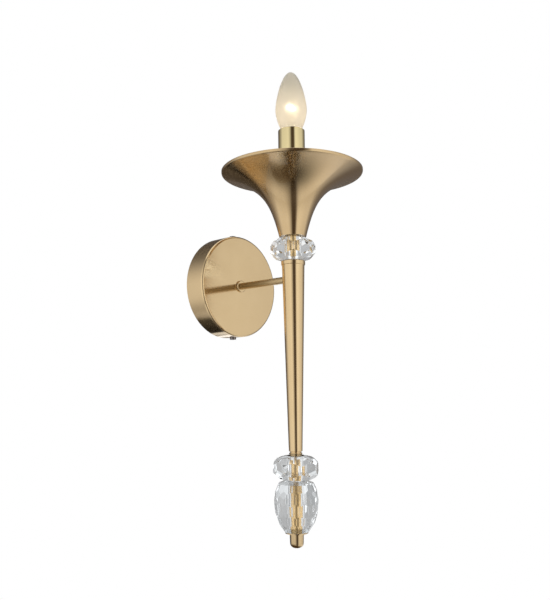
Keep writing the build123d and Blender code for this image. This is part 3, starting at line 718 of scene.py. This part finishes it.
@dataclass
class Studio:
    """Camera, soft lamps, a shaded tent with its ground, cards, white background and floor."""

    azimuth: float = -47.34
    elevation: float = -6.64
    roll: float = -0.58
    distance_mm: float = 705.4
    focal_px: float = 643.0
    image_px: float = 600.0
    film_mm: float = 36.0
    clip_m: Point = (0.01, 100.0)
    aim_height_mm: float = -23.06
    aim_aside_mm: float = -20.45
    # Cut crystal sends light round inside itself many times before it comes out.
    bounces: int = 24
    floor_m: float = -1.0
    floor_radius_m: float = 1.6
    floor_fade: Point = (0.45, 0.95)
    floor_glow: float = 0.6
    floor_paint: str = "E6E4E0"
    fill: float = 0.45
    tent_radius_m: float = 1.5
    tent_top_m: float = 1.9
    tent_light: Stops = (
        (-180, 0.06), (-140, 0.1), (-118, 0.24), (-100, 0.54), (-85, 0.84), (-45, 0.9), (-30, 0.96),
        (-20, 0.78), (-10, 0.5), (-3, 0.1), (4, 0.04), (17, 0.04), (24, 0.25), (31, 0.94), (45, 1.0),
        (75, 0.83), (100, 0.74), (118, 0.34), (135, 0.16), (180, 0.06),
    )
    tent_strength: float = 1.08
    tent_shade: str = "3A2812"
    tent_middle_m: float = -0.25
    tent_fade_m: Point = (0.4, 1.7)
    tent_end_light: float = 0.5
    tent_cove_m: float = 0.6
    tent_cove_light: float = 0.6
    ground_light: Stops = (
        (-180, 0.08), (-174, 0.1), (-170, 1.4), (-160, 1.4), (-155, 0.4), (-135, 0.38), (-114, 0.45),
        (-85, 0.86), (-45, 0.86), (-28, 0.66), (-12, 0.4), (-3, 0.08), (18, 0.1), (30, 0.75), (45, 0.9),
        (105, 0.9), (135, 0.84), (168, 0.8), (180, 0.08),
    )
    ground_lift_m: float = 0.02
    ground_strength: float = 1.0
    ground_middle_light: float = 0.03
    ground_reach_m: float = 1.2
    glass_lift: float = 0.4
    disc_bearing: float = -90.0
    disc_aside_m: float = 0.1
    disc_radius_m: float = 0.15
    disc_height_m: float = -0.38
    disc_shade: str = "4A3B28"

    def axes(self) -> tuple[Vector, Vector, Vector]:
        """Give the camera's right, up and backward directions before its roll.

        Returns:
            Three unit vectors.
        """
        turn, rise = math.radians(self.azimuth), math.radians(self.elevation)
        back = Vector((math.sin(turn) * math.cos(rise), -math.cos(turn) * math.cos(rise), math.sin(rise)))
        right = Vector((math.cos(turn), math.sin(turn), 0))
        return right, back.cross(right), back

    def eye(self) -> Vector:
        """Give the camera's place in metres.

        Returns:
            The place.
        """
        right, _, back = self.axes()
        aim = Vector((0, -COLUMN_OUT, self.aim_height_mm)) + right * self.aim_aside_mm
        return (aim + back * self.distance_mm) * MM

    def make_camera(self) -> None:
        """Set the camera where the photograph was taken from."""
        right, up, back = self.axes()
        lean = math.radians(self.roll)
        across = right * math.cos(lean) + up * math.sin(lean)
        upward = up * math.cos(lean) - right * math.sin(lean)
        lens = bpy.data.cameras.new("camera")
        lens.sensor_width = self.film_mm
        lens.lens = self.focal_px / self.image_px * self.film_mm
        lens.clip_start, lens.clip_end = self.clip_m
        camera = bpy.data.objects.new("camera", lens)
        bpy.context.scene.collection.objects.link(camera)
        turn = Matrix((across, upward, back)).transposed()
        camera.matrix_world = Matrix.Translation(self.eye()) @ turn.to_4x4()
        bpy.context.scene.camera = camera

    def towards(self, bearing: float) -> Vector:
        """Give the level direction at a bearing from the camera, positive to its right.

        Args:
            bearing: Degrees round the column.

        Returns:
            A unit vector.
        """
        front = self.eye() - AXIS
        front.z = 0
        front.normalize()
        return Matrix.Rotation(math.radians(bearing), 3, "Z") @ front

    def stand(self, upright: Upright) -> tuple[Matrix, float, float]:
        """Place an upright rectangle.

        Args:
            upright: What stands there.

        Returns:
            Its place, with local Z towards the column, its width and its height.
        """
        first, last = upright.bearing
        middle = self.towards((first + last) / 2)
        centre = middle * upright.out_m + axis_at((upright.low_m + upright.high_m) / 2)
        width = 2 * upright.out_m * math.tan(math.radians(abs(last - first) / 2))
        up = Vector((0, 0, 1))
        turn = Matrix((up.cross(-middle), up, -middle)).transposed()
        return Matrix.Translation(centre) @ turn.to_4x4(), width, upright.high_m - upright.low_m

    def make_panel(self, panel: SoftPanel) -> None:
        """Hang a soft lamp.

        Args:
            panel: Its size, place and brightness.
        """
        place, width, height = self.stand(panel)
        lamp = bpy.data.lights.new(panel.name, "AREA")
        lamp.shape = "RECTANGLE"
        lamp.size, lamp.size_y = width, height
        lamp.energy = panel.radiance * math.pi * lamp.size * lamp.size_y
        lit = bpy.data.objects.new(panel.name, lamp)
        bpy.context.scene.collection.objects.link(lit)
        lit.matrix_world = place @ Matrix.Rotation(math.pi, 4, "Y")
        lit.visible_camera = lit.visible_glossy = False

    def bearing_light(self, tree: Tree, place: Socket, light: Stops, scale: Socket | float) -> Socket:
        """Shade a cloth by its bearing round the column: two bright sides, a dark gap and dark wings.

        Args:
            tree: The cloth's node tree.
            place: The place on the cloth, from the column's axis.
            light: Bearings from the camera in degrees, each with its light.
            scale: How bright the cloth is at its height or distance.

        Returns:
            The colour.
        """
        front = self.towards(0)
        turned = add_node(tree, "VectorRotate", {"Vector": place, "Angle": -math.atan2(front.y, front.x)},
                          rotation_type="Z_AXIS")
        parts = add_node(tree, "SeparateXYZ", {0: turned}).node.outputs
        angle = add_node(tree, "Math", {0: parts[1], 1: parts[0]}, operation="ARCTAN2")
        share = add_node(tree, "MapRange", {0: angle, 1: -math.pi, 2: math.pi, 3: 0.0, 4: 1.0})
        ramp = add_node(tree, "ValToRGB", {0: share})
        stops = ramp.node.color_ramp.elements
        places = [bearing / 360 + 0.5 for bearing, _ in light]
        for at in places[1:-1]:
            stops.new(at)
        for stop, at, (_, bright) in zip(stops, places, light):
            stop.position = at
            stop.color = [shade + (1 - shade) * bright for shade in linear(self.tent_shade)]
        return add_node(tree, "VectorMath", {0: ramp, "Scale": scale}, operation="SCALE")

    @staticmethod
    def from_axis(tree: Tree) -> Socket:
        """Give the place on a cloth, measured from the column's axis."""
        place = add_node(tree, "TexCoord", give="Object")
        return add_node(tree, "VectorMath", {0: place, 1: -AXIS}, operation="ADD")

    @staticmethod
    def lay_round(radius: float, place: Vector) -> Object:
        """Lay a flat round cloth, given its radius and its centre in metres."""
        return add_alone(bpy.ops.mesh.primitive_circle_add, vertices=96, radius=radius, fill_type="NGON",
                         location=place)

    def hang(self, cloth: Object, name: str, material: Material,
             colour: Socket | Sequence[float], strength: float) -> None:
        """Finish a cloth that only mirrors and glass see, lighter through glass.

        Args:
            cloth: The cloth's object.
            name: What to call it.
            material: Its material.
            colour: Its colour, or what gives it.
            strength: Its brightness.
        """
        cloth.name = name
        bpy.ops.object.transform_apply()
        tree = material.node_tree
        through = add_node(tree, "LightPath", give="Is Transmission Ray")
        lift = add_node(tree, "Math", {0: through, 1: self.glass_lift}, operation="MULTIPLY")
        seen = add_node(tree, "Mix", {0: lift, 6: colour, 7: linear(WHITE)}, data_type="RGBA", give=2)
        glow = add_node(tree, "Emission", {"Color": seen, "Strength": strength})
        add_node(tree, "OutputMaterial", {"Surface": glow})
        cloth.data.materials.append(material)
        cloth.visible_camera = cloth.visible_shadow = cloth.visible_diffuse = False

    def make_tent(self) -> None:
        """Stand a round tent about the object, which blends into its ground at the foot."""
        tent = add_alone(
            bpy.ops.mesh.primitive_cylinder_add, vertices=128, radius=self.tent_radius_m,
            depth=self.tent_top_m - self.floor_m, end_fill_type="NOTHING",
            location=axis_at((self.tent_top_m + self.floor_m) / 2))
        material, tree = new_material("tent_cloth")
        place = self.from_axis(tree)
        height = add_node(tree, "SeparateXYZ", {0: place}, give=2)
        above = add_node(tree, "Math", {0: height, 1: self.tent_middle_m}, operation="SUBTRACT")
        off = add_node(tree, "Math", {0: above}, operation="ABSOLUTE")
        fade = add_node(tree, "MapRange", {
            0: off, 1: self.tent_fade_m[0], 2: self.tent_fade_m[1], 3: 1.0, 4: self.tent_end_light,
        }, interpolation_type="SMOOTHSTEP")
        upper = self.bearing_light(tree, place, self.tent_light, fade)
        cove = add_node(tree, "MapRange", {
            0: height, 1: self.floor_m, 2: self.floor_m + self.tent_cove_m, 3: 0.0, 4: 1.0,
        }, interpolation_type="SMOOTHSTEP")
        lower = self.bearing_light(tree, place, self.ground_light, self.tent_cove_light)
        colour = add_node(tree, "Mix", {0: cove, 6: lower, 7: upper}, data_type="RGBA", give=2)
        self.hang(tent, "tent", material, colour, self.tent_strength)

    def make_ground(self) -> None:
        """Lay the tent's ground, dark in its middle."""
        ground = self.lay_round(self.tent_radius_m, axis_at(self.floor_m + self.ground_lift_m))
        material, tree = new_material("ground_cloth")
        place = self.from_axis(tree)
        flat = add_node(tree, "VectorMath", {0: place, 1: (1, 1, 0)}, operation="MULTIPLY")
        out = add_node(tree, "VectorMath", {0: flat}, operation="LENGTH", give="Value")
        fade = add_node(tree, "MapRange", {
            0: out, 1: 0.0, 2: self.ground_reach_m, 3: self.ground_middle_light, 4: 1.0,
        }, interpolation_type="SMOOTHSTEP")
        colour = self.bearing_light(tree, place, self.ground_light, fade)
        self.hang(ground, "ground_cloth", material, colour, self.ground_strength)

    def lay_disc(self) -> None:
        """Lay a dark disc under the finial, which browns the finial's foot and the bell's middle."""
        aside = self.towards(self.disc_bearing) * self.disc_aside_m
        disc = self.lay_round(self.disc_radius_m, axis_at(self.disc_height_m) + aside)
        material, _ = new_material("dark_low_disc")
        self.hang(disc, "dark_low_disc", material, linear(self.disc_shade), 1.0)

    def stand_card(self, card: Card) -> None:
        """Stand a card.

        Args:
            card: Its place, size and shade.
        """
        place, width, height = self.stand(card)
        board = add_alone(bpy.ops.mesh.primitive_plane_add, size=1)
        board.matrix_world = place @ Matrix.Diagonal((width, height, 1, 1))
        material, _ = new_material(card.name)
        self.hang(board, card.name, material, linear(card.shade), card.strength)

    def make_floor(self) -> None:
        """Lay a pale round floor that fades into the white background at its edge."""
        floor = self.lay_round(self.floor_radius_m, axis_at(self.floor_m))
        floor.name = "floor"
        bpy.ops.object.transform_apply()
        material, tree = new_material("pale_floor")
        place = add_node(tree, "TexCoord", give="Object")
        shifted = add_node(tree, "Mapping", {"Vector": place, "Location": -axis_at(self.floor_m)})
        away = add_node(tree, "VectorMath", {0: shifted}, operation="LENGTH", give="Value")
        inner, outer = [self.floor_radius_m * share for share in self.floor_fade]
        edge = add_node(tree, "MapRange", {0: away, 1: inner, 2: outer, 3: self.floor_glow},
                        interpolation_type="SMOOTHSTEP")
        white = add_node(tree, "Math", {0: edge, 1: self.seen(tree)}, operation="MULTIPLY")
        paint = add_node(tree, "BsdfDiffuse", {"Color": linear(self.floor_paint)})
        glow = add_node(tree, "Emission", {"Color": linear(WHITE), "Strength": 1.0})
        mixed = add_node(tree, "MixShader", {0: white, 1: paint, 2: glow})
        add_node(tree, "OutputMaterial", {"Surface": mixed})
        floor.data.materials.append(material)

    @staticmethod
    def seen(tree: Tree) -> Socket:
        """Give 1 for what the camera, a mirror or a glass sees, 0 for light on a matt surface.

        Args:
            tree: The material's or the world's node tree.

        Returns:
            The output that gives it.
        """
        path = add_node(tree, "LightPath").node.outputs
        direct = add_node(tree, "Math", {0: path["Is Camera Ray"], 1: path["Is Glossy Ray"]},
                          operation="MAXIMUM")
        return add_node(tree, "Math", {0: direct, 1: path["Is Transmission Ray"]}, operation="MAXIMUM")

    def make_world(self) -> None:
        """Make a white background with an even fill."""
        world = bpy.data.worlds.new("white_studio")
        bpy.context.scene.world = world
        world.use_nodes = True
        tree = world.node_tree
        tree.nodes.clear()
        strength = add_node(tree, "MapRange", {0: self.seen(tree), 1: 0.0, 2: 1.0, 3: self.fill, 4: 1.0})
        sky = add_node(tree, "Background", {"Color": linear(WHITE), "Strength": strength})
        add_node(tree, "OutputWorld", {"Surface": sky})

    def build(self) -> None:
        """Set up everything round the object."""
        scene = bpy.context.scene
        scene.view_settings.view_transform = "Standard"
        for kind in ("max_bounces", "transmission_bounces", "glossy_bounces"):
            setattr(scene.cycles, kind, self.bounces)
        self.make_camera()
        self.make_world()
        self.make_floor()
        self.make_tent()
        self.make_ground()
        self.lay_disc()
        for panel in (
            SoftPanel("soft_left", (-24, -78), 1.3, -0.9, 1.3, 0.5),
            SoftPanel("soft_right", (27, 90), 1.3, -0.9, 1.3, 0.5),
        ):
            self.make_panel(panel)
        for card in (
            Card("black_flag", (-116, -156), 0.95, -0.97, -0.35, "0E0B08"),
            Card("dark_side_card", (-136, -164), 1.05, -0.5, 0.0, "4C443A"),
            Card("low_white_card", (-165, -187), 1.1, -0.97, -0.3, WHITE, 1.25),
        ):
            self.stand_card(card)
        log.info("studio ready")


class Assembly:
    """A sub-assembly: some pieces are modelled here, and the rest keep their solids' shapes."""

    finishes: ClassVar[Finishes]

    def build(self) -> None:
        """Model the pieces that need more than their solid."""

    def dress(self) -> None:
        """Give each node that stays its finish."""
        for finish, nodes in self.finishes.items():
            for node in nodes:
                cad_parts[node].material_slots[0].material = finish.material()
                log.info("%s dressed as %s", node, finish.name)


@dataclass
class Canopy(Assembly):
    """Wall canopy with its strap, side screws and the arm's fixings."""

    finishes: ClassVar[Finishes] = {
        SATIN_CANOPY: ("arm_rosette",), SATIN_ARM: ("arm_tube",), BLACK_NICKEL: ("canopy_screws",),
        ZINC: ("wall_bracket", "arm_lock_washer")}
    radius: float = 60.0
    depth: float = 27.0
    wall: float = 1.0
    edge: float = 2.6
    edge_parts: int = 10
    # A narrow ring beside the round edge keeps the flat face's shading flat.
    edge_guard: float = 0.4
    arm_hole: float = 4.1
    screw_hole: float = 2.3
    nut: Nut = Nut(13.0, 4.05, 4.0)
    nut_back: float = 21.2
    # The canopy's pieces are made upright and tipped over, so that their tops point out from the wall.
    tip: tuple[float, float, float] = (math.pi / 2, 0, 0)

    def spin_cup(self) -> None:
        """Spin the cup over a round-edged chuck, and drill it for the arm and the side screws."""
        bend = self.radius - self.edge, self.depth - self.edge
        cup = turn_profile("spun_canopy", [
            (self.radius, 0), (self.radius, bend[1] - self.edge_guard),
            *arc(bend, self.edge, (0, 90), self.edge_parts),
            (bend[0] - self.edge_guard, self.depth), (self.arm_hole, self.depth),
            (self.arm_hole, self.depth - self.wall),
            *arc(bend, self.edge - self.wall, (90, 0), self.edge_parts), (self.radius - self.wall, 0),
        ], WIDE_STEPS)
        drill = add_start(bpy.ops.mesh.primitive_cylinder_add, "screw_drill", vertices=32,
                          radius=self.screw_hole * MM, depth=self.radius * 3 * MM,
                          location=(0, 0, self.depth / 2 * MM), rotation=self.tip)
        close_up()
        combine(cup, drill, "DIFFERENCE")
        cup.rotation_euler = self.tip
        seat(cup, SATIN_CANOPY, "fixture", "canopy")

    def build(self) -> None:
        """Spin the cup and make the nut that holds the arm."""
        self.spin_cup()
        nut = self.nut.make("arm_lock_nut")
        nut.rotation_euler = self.tip
        nut.location = (0, -self.nut_back * MM, 0)
        seat(nut, ZINC, "fixture", "arm_nut")


@dataclass
class Column(Assembly):
    """Tapered column, its collars, joint block, threaded rods and finial."""

    finishes: ClassVar[Finishes] = {
        SATIN_COLUMN: ("column_tube", "column_top_collar", "finial_washer"), TURNED: ("joint_block",)}
    rod_radii: Point = (4.45, 5.0)
    rod_pitch: float = 1.0
    rod_bore: float = 3.5
    rod_hole: float = 5.05
    upper_rod: Point = (4.5, 109.95)
    lower_rod: Point = (-279.7, -4.5)
    nut: Nut = Nut(15.0, 5.05, 5.0)
    nut_feet: Point = (49.2, 76.8)
    collar: Point = (-190.0, -185.6)
    collar_neck: float = 6.1
    collar_bead: float = 1.0
    collar_bead_height: float = -188.2
    collar_lip: Point = (0.8, 0.6)
    spigot: Point = (6.2, -182.6)
    finial: Point = (-285.2, -269.7)
    finial_radii: Point = (7.3, 7.6)
    finial_edge: float = 0.5
    finial_dome: float = 6.0
    # A power of 1 makes the dome an ellipse, and less makes it squarer.
    finial_power: float = 0.75
    finial_parts: int = 15
    finial_bore_floor: float = -280.0

    def make_rod(self, name: str, ends: Point, bored: bool, node: str) -> None:
        """Cut a rod's thread from end to end.

        Args:
            name: The piece's name.
            ends: Heights of its foot and its top.
            bored: Whether the wires pass through it.
            node: The node that it stands for.
        """
        rod = wind_thread(name, ends, self.rod_radii, self.rod_pitch, shape=2, steps=20)
        if bored:
            beyond = ends[0] - self.rod_pitch, ends[1] + self.rod_pitch
            combine(rod, turn_bar("rod_bore", self.rod_bore, beyond, steps=32), "DIFFERENCE")
        rod.location = AXIS
        seat(rod, ZINC, "fixture", node)

    def make_nuts(self) -> None:
        """Make one nut and copy it to its second place."""
        nut = self.nut.make("rod_lock_nuts")
        take(nut)
        bpy.ops.object.duplicate()
        second = bpy.context.object
        for piece, foot in zip((nut, second), self.nut_feet):
            piece.location = axis_at(foot * MM)
        take(nut)
        second.select_set(True)
        bpy.ops.object.transform_apply()
        bpy.ops.object.join()
        seat(nut, ZINC, "fixture", "rod_nuts")

    def turn_collar(self) -> None:
        """Turn the lower collar: a round bead under a deep groove, with a spigot that fits the column."""
        foot, top = self.collar
        neck = self.collar_neck
        out, down = self.collar_lip
        collar = turn_profile("turned_lower_collar", [
            (self.rod_hole, foot), (neck, foot),
            *arc((neck, self.collar_bead_height), self.collar_bead, (-90, 90), parts=12),
            (neck, top - down), (neck + out, top), (self.spigot[0], top), self.spigot,
            (self.rod_hole, self.spigot[1])])
        collar.location = AXIS
        seat(collar, SATIN_COLUMN, "fixture", "lower_collar")

    def turn_finial(self) -> None:
        """Turn the finial: nearly straight sides, round corners and a flat dome."""
        foot, top = self.finial
        low, high = self.finial_radii
        edge, power = self.finial_edge, self.finial_power
        turns = [math.pi / 2 * part / self.finial_parts for part in range(1, self.finial_parts + 1)]
        dome = [
            (low * math.sin(turn) ** power, foot + self.finial_dome * (1 - max(math.cos(turn), 0) ** power))
            for turn in turns]
        finial = turn_profile("turned_finial", [
            (0, foot), *dome, (high, top - edge), (high - edge, top), (self.rod_hole, top),
            (self.rod_hole, self.finial_bore_floor), (0, self.finial_bore_floor)])
        finial.location = AXIS
        seat(finial, SATIN_COLUMN, "fixture", "finial")

    def build(self) -> None:
        """Make the rods, their nuts, the lower collar and the finial."""
        self.make_rod("upper_threaded_tube", self.upper_rod, True, "upper_rod")
        self.make_rod("lower_threaded_rod", self.lower_rod, False, "lower_rod")
        self.make_nuts()
        self.turn_collar()
        self.turn_finial()


@dataclass
class CrystalStack(Assembly):
    """Cut beads and barrel on their brass tubes."""

    finishes: ClassVar[Finishes] = {
        CORE: ("upper_core_tube", "lower_core_tube"), GASKET: ("bead_gaskets",)}
    bore: float = 6.3
    bore_margin: float = 1.0
    edge: float = 0.12
    edge_turn: float = 4.0
    flat_turn: float = 0.5

    def cut_stone(self, name: str, node: str) -> None:
        """Grind a fine flat along every cut edge of a stone.

        Args:
            name: The piece's name.
            node: The node that holds the stone's facets.
        """
        stone = bpy.data.objects.new(name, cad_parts[node].data.copy())
        stone.data.name = name
        bpy.context.scene.collection.objects.link(stone)
        take(stone)
        bpy.ops.object.mode_set(mode="EDIT")
        bpy.ops.mesh.select_mode(type="EDGE")
        bpy.ops.mesh.select_all(action="SELECT")
        bpy.ops.mesh.remove_doubles(threshold=WELD)
        bpy.ops.mesh.dissolve_limited(angle_limit=math.radians(self.flat_turn))
        bpy.ops.mesh.select_all(action="DESELECT")
        bpy.ops.mesh.edges_select_sharp(sharpness=math.radians(self.edge_turn))
        bpy.ops.object.mode_set(mode="OBJECT")
        near = (self.bore + self.bore_margin) * MM
        far = [
            math.hypot(corner.co.x, corner.co.y + COLUMN_OUT * MM) > near for corner in stone.data.vertices]
        for line in stone.data.edges:
            line.select = line.select and all(far[corner] for corner in line.vertices)
        bpy.ops.object.mode_set(mode="EDIT")
        bpy.ops.mesh.bevel(offset=self.edge * MM, segments=1, affect="EDGES", clamp_overlap=True)
        bpy.ops.mesh.select_mode(type="VERT")
        bpy.ops.object.mode_set(mode="OBJECT")
        seat(stone, CRYSTAL, "fixture", node, smooth=self.edge_turn)

    def build(self) -> None:
        """Cut the three stones."""
        self.cut_stone("upper_cut_bead", "upper_bead")
        self.cut_stone("lower_cut_bead", "lower_bead")
        self.cut_stone("cut_barrel", "barrel_crystal")


@dataclass
class Bell(Assembly):
    """Trumpet bell, spun in one sweep up to an upright lip, with the candle sleeve on its seat."""

    finishes: ClassVar[Finishes] = {SATIN_BELL: ("sleeve_seat",), POLISHED: ("candle_sleeve",)}
    foot: float = 47.2
    rim: float = 121.2
    neck_radius: float = 14.95
    rim_radius: float = 79.0
    hole: float = 5.05
    wall: float = 1.1
    floor: float = 2.0
    neck_lean: float = 14.4
    neck_pull: float = 37.8
    rim_rise: float = 16.2
    rim_pull: float = 47.6
    sweep_points: int = 48
    lip_bend: float = 1.6
    lip_parts: int = 6
    lip_height: float = 1.8
    lip_edge: float = 0.3

    def sweep(self, inward: float) -> list[Point]:
        """Draw one side of the wall from the neck up to the lip.

        Args:
            inward: Distance in from the outer side.

        Returns:
            Radius and height of each corner.
        """
        lean, rise = math.radians(self.neck_lean), math.radians(self.rim_rise)
        neck_way = Vector((math.sin(lean), math.cos(lean), 0))
        rim_way = Vector((math.cos(rise), math.sin(rise), 0))
        bend = self.lip_bend - inward
        middle = Vector((self.rim_radius - self.lip_bend, self.rim - self.lip_height, 0))
        start = Vector((self.neck_radius, self.foot, 0)) + Vector((-neck_way.y, neck_way.x, 0)) * inward
        end = middle + Vector((rim_way.y, -rim_way.x, 0)) * bend
        line = interpolate_bezier(
            start, start + neck_way * self.neck_pull, end - rim_way * self.rim_pull, end, self.sweep_points)
        lip = arc((middle.x, middle.y), bend, (self.rim_rise - 90, 0), self.lip_parts)
        return [(corner.x, corner.y) for corner in line] + lip[1:]

    def build(self) -> None:
        """Spin the bell."""
        edge, inside = self.lip_edge, self.foot + self.floor
        outer, inner = self.rim_radius, self.rim_radius - self.wall
        lining = [corner for corner in self.sweep(self.wall) if corner[1] > inside]
        bell = turn_profile("spun_bell", [
            (self.hole, self.foot), *self.sweep(0.0), (outer, self.rim - edge), (outer - edge, self.rim),
            (inner + edge, self.rim), (inner, self.rim - edge), *reversed(lining),
            (lining[0][0], inside), (self.hole, inside)], WIDE_STEPS)
        bell.location = AXIS
        seat(bell, SATIN_BELL, "fixture", "bell")


@dataclass
class Lampholder(Assembly):
    """Lampholder inside the sleeve."""

    finishes: ClassVar[Finishes] = {
        ZINC: ("lampholder_base",), THERMOSET: ("lampholder_body",),
        TURNED: ("centre_contact", "lampholder_terminals")}
    shell_ends: Point = (136.95, 155.95)
    shell_radii: Point = (7.5, 7.95)
    shell_wall: float = 0.2

    def build(self) -> None:
        """Roll the socket shell's round thread in thin brass."""
        shell = roll_thread("threaded_socket_shell", self.shell_ends, self.shell_radii, self.shell_wall)
        shell.location = AXIS
        seat(shell, TURNED, "fixture", "socket_shell")


@dataclass
class CandleLamp(Assembly):
    """Frosted candle lamp on its screw cap."""

    finishes: ClassVar[Finishes] = {
        FROSTED: ("bulb_glass",), NICKEL: ("bulb_leads",), BLACK_GLASS: ("bulb_insulator",),
        SOLDER: ("bulb_contact",), LAMP_GLASS: ("bulb_stem",)}
    filament_height: float = 194.05
    filament_span: float = 14.0
    filament_sag: float = 2.5
    coil_radius: float = 0.85
    coil_turns: int = 18
    coil_steps: int = 14
    wire_radius: float = 0.16
    wire_sides: int = 8
    cap_foot: float = 142.9
    cap_top: float = 164.0
    cap_wall: float = 0.35
    thread_radii: Point = (6.3, 6.95)
    flare: Point = (157.0, 160.0)
    skirt_radius: float = 8.5
    skirt_edge: float = 0.2

    def make_filament(self) -> None:
        """Wind the coil along its span and let its middle arch up."""
        wire = add_start(bpy.ops.mesh.primitive_circle_add, "filament_coil", vertices=self.wire_sides,
                         radius=self.wire_radius * MM)
        bpy.ops.transform.translate(value=(self.coil_radius * MM, 0, 0))
        bpy.ops.object.mode_set(mode="OBJECT")
        add_modifier(wire, "SCREW", axis="Z", steps=self.coil_steps, render_steps=self.coil_steps,
                     iterations=self.coil_turns, screw_offset=self.filament_span / self.coil_turns * MM)
        wire.location = (-self.filament_span / 2 * MM, -COLUMN_OUT * MM, self.filament_height * MM)
        wire.rotation_euler = (0, math.pi / 2, 0)
        bpy.ops.object.transform_apply()
        for corner in wire.data.vertices:
            corner.select = abs(corner.co.x) < self.coil_radius * MM
        bpy.ops.object.mode_set(mode="EDIT")
        bpy.ops.transform.translate(
            value=(0, 0, self.filament_sag * MM), use_proportional_edit=True,
            proportional_edit_falloff="SPHERE", proportional_size=self.filament_span / 2 * MM)
        bpy.ops.mesh.select_all(action="SELECT")
        bpy.ops.mesh.fill_holes(sides=0)
        close_up()
        seat(wire, TUNGSTEN, "lamp", "bulb_filament")

    def make_cap(self) -> None:
        """Roll the cap's round thread in thin metal, and turn the skirt that grips the glass."""
        root, crest = self.thread_radii
        low, high = self.flare
        cap = roll_thread("screw_cap", (self.cap_foot, low + self.cap_wall), self.thread_radii, self.cap_wall)
        inner, outer = self.skirt_radius - self.cap_wall, self.skirt_radius
        skirt = turn_profile("cap_skirt", [
            (root, low - self.cap_wall), (crest, low), (outer, high), (outer, self.cap_top - self.skirt_edge),
            (outer - self.skirt_edge, self.cap_top), (inner, self.cap_top), (inner, high), (root, low)])
        take(cap)
        skirt.select_set(True)
        bpy.ops.object.join()
        cap.location = AXIS
        seat(cap, NICKEL, "lamp", "bulb_cap")

    def build(self) -> None:
        """Make the filament and the screw cap."""
        self.make_filament()
        self.make_cap()


@dataclass
class Wiring(Assembly):
    """Terminal block, wires and earth point behind the canopy."""

    finishes: ClassVar[Finishes] = {
        NYLON: ("terminal_block",), TURNED: ("terminal_tubes", "earth_tag", "earth_screw"),
        ZINC: ("terminal_screws",), BROWN_PVC: ("live_wire",), BLUE_PVC: ("neutral_wire",),
        GREEN_PVC: ("earth_wire",)}


def main() -> None:
    """Build the studio, then dress each sub-assembly in order."""
    logging.basicConfig(level=logging.INFO, format="%(message)s")
    Studio().build()
    for assembly in (Canopy(), Column(), CrystalStack(), Bell(), Lampholder(), CandleLamp(), Wiring()):
        assembly.build()
        assembly.dress()


if __name__ == "__main__":
    main()
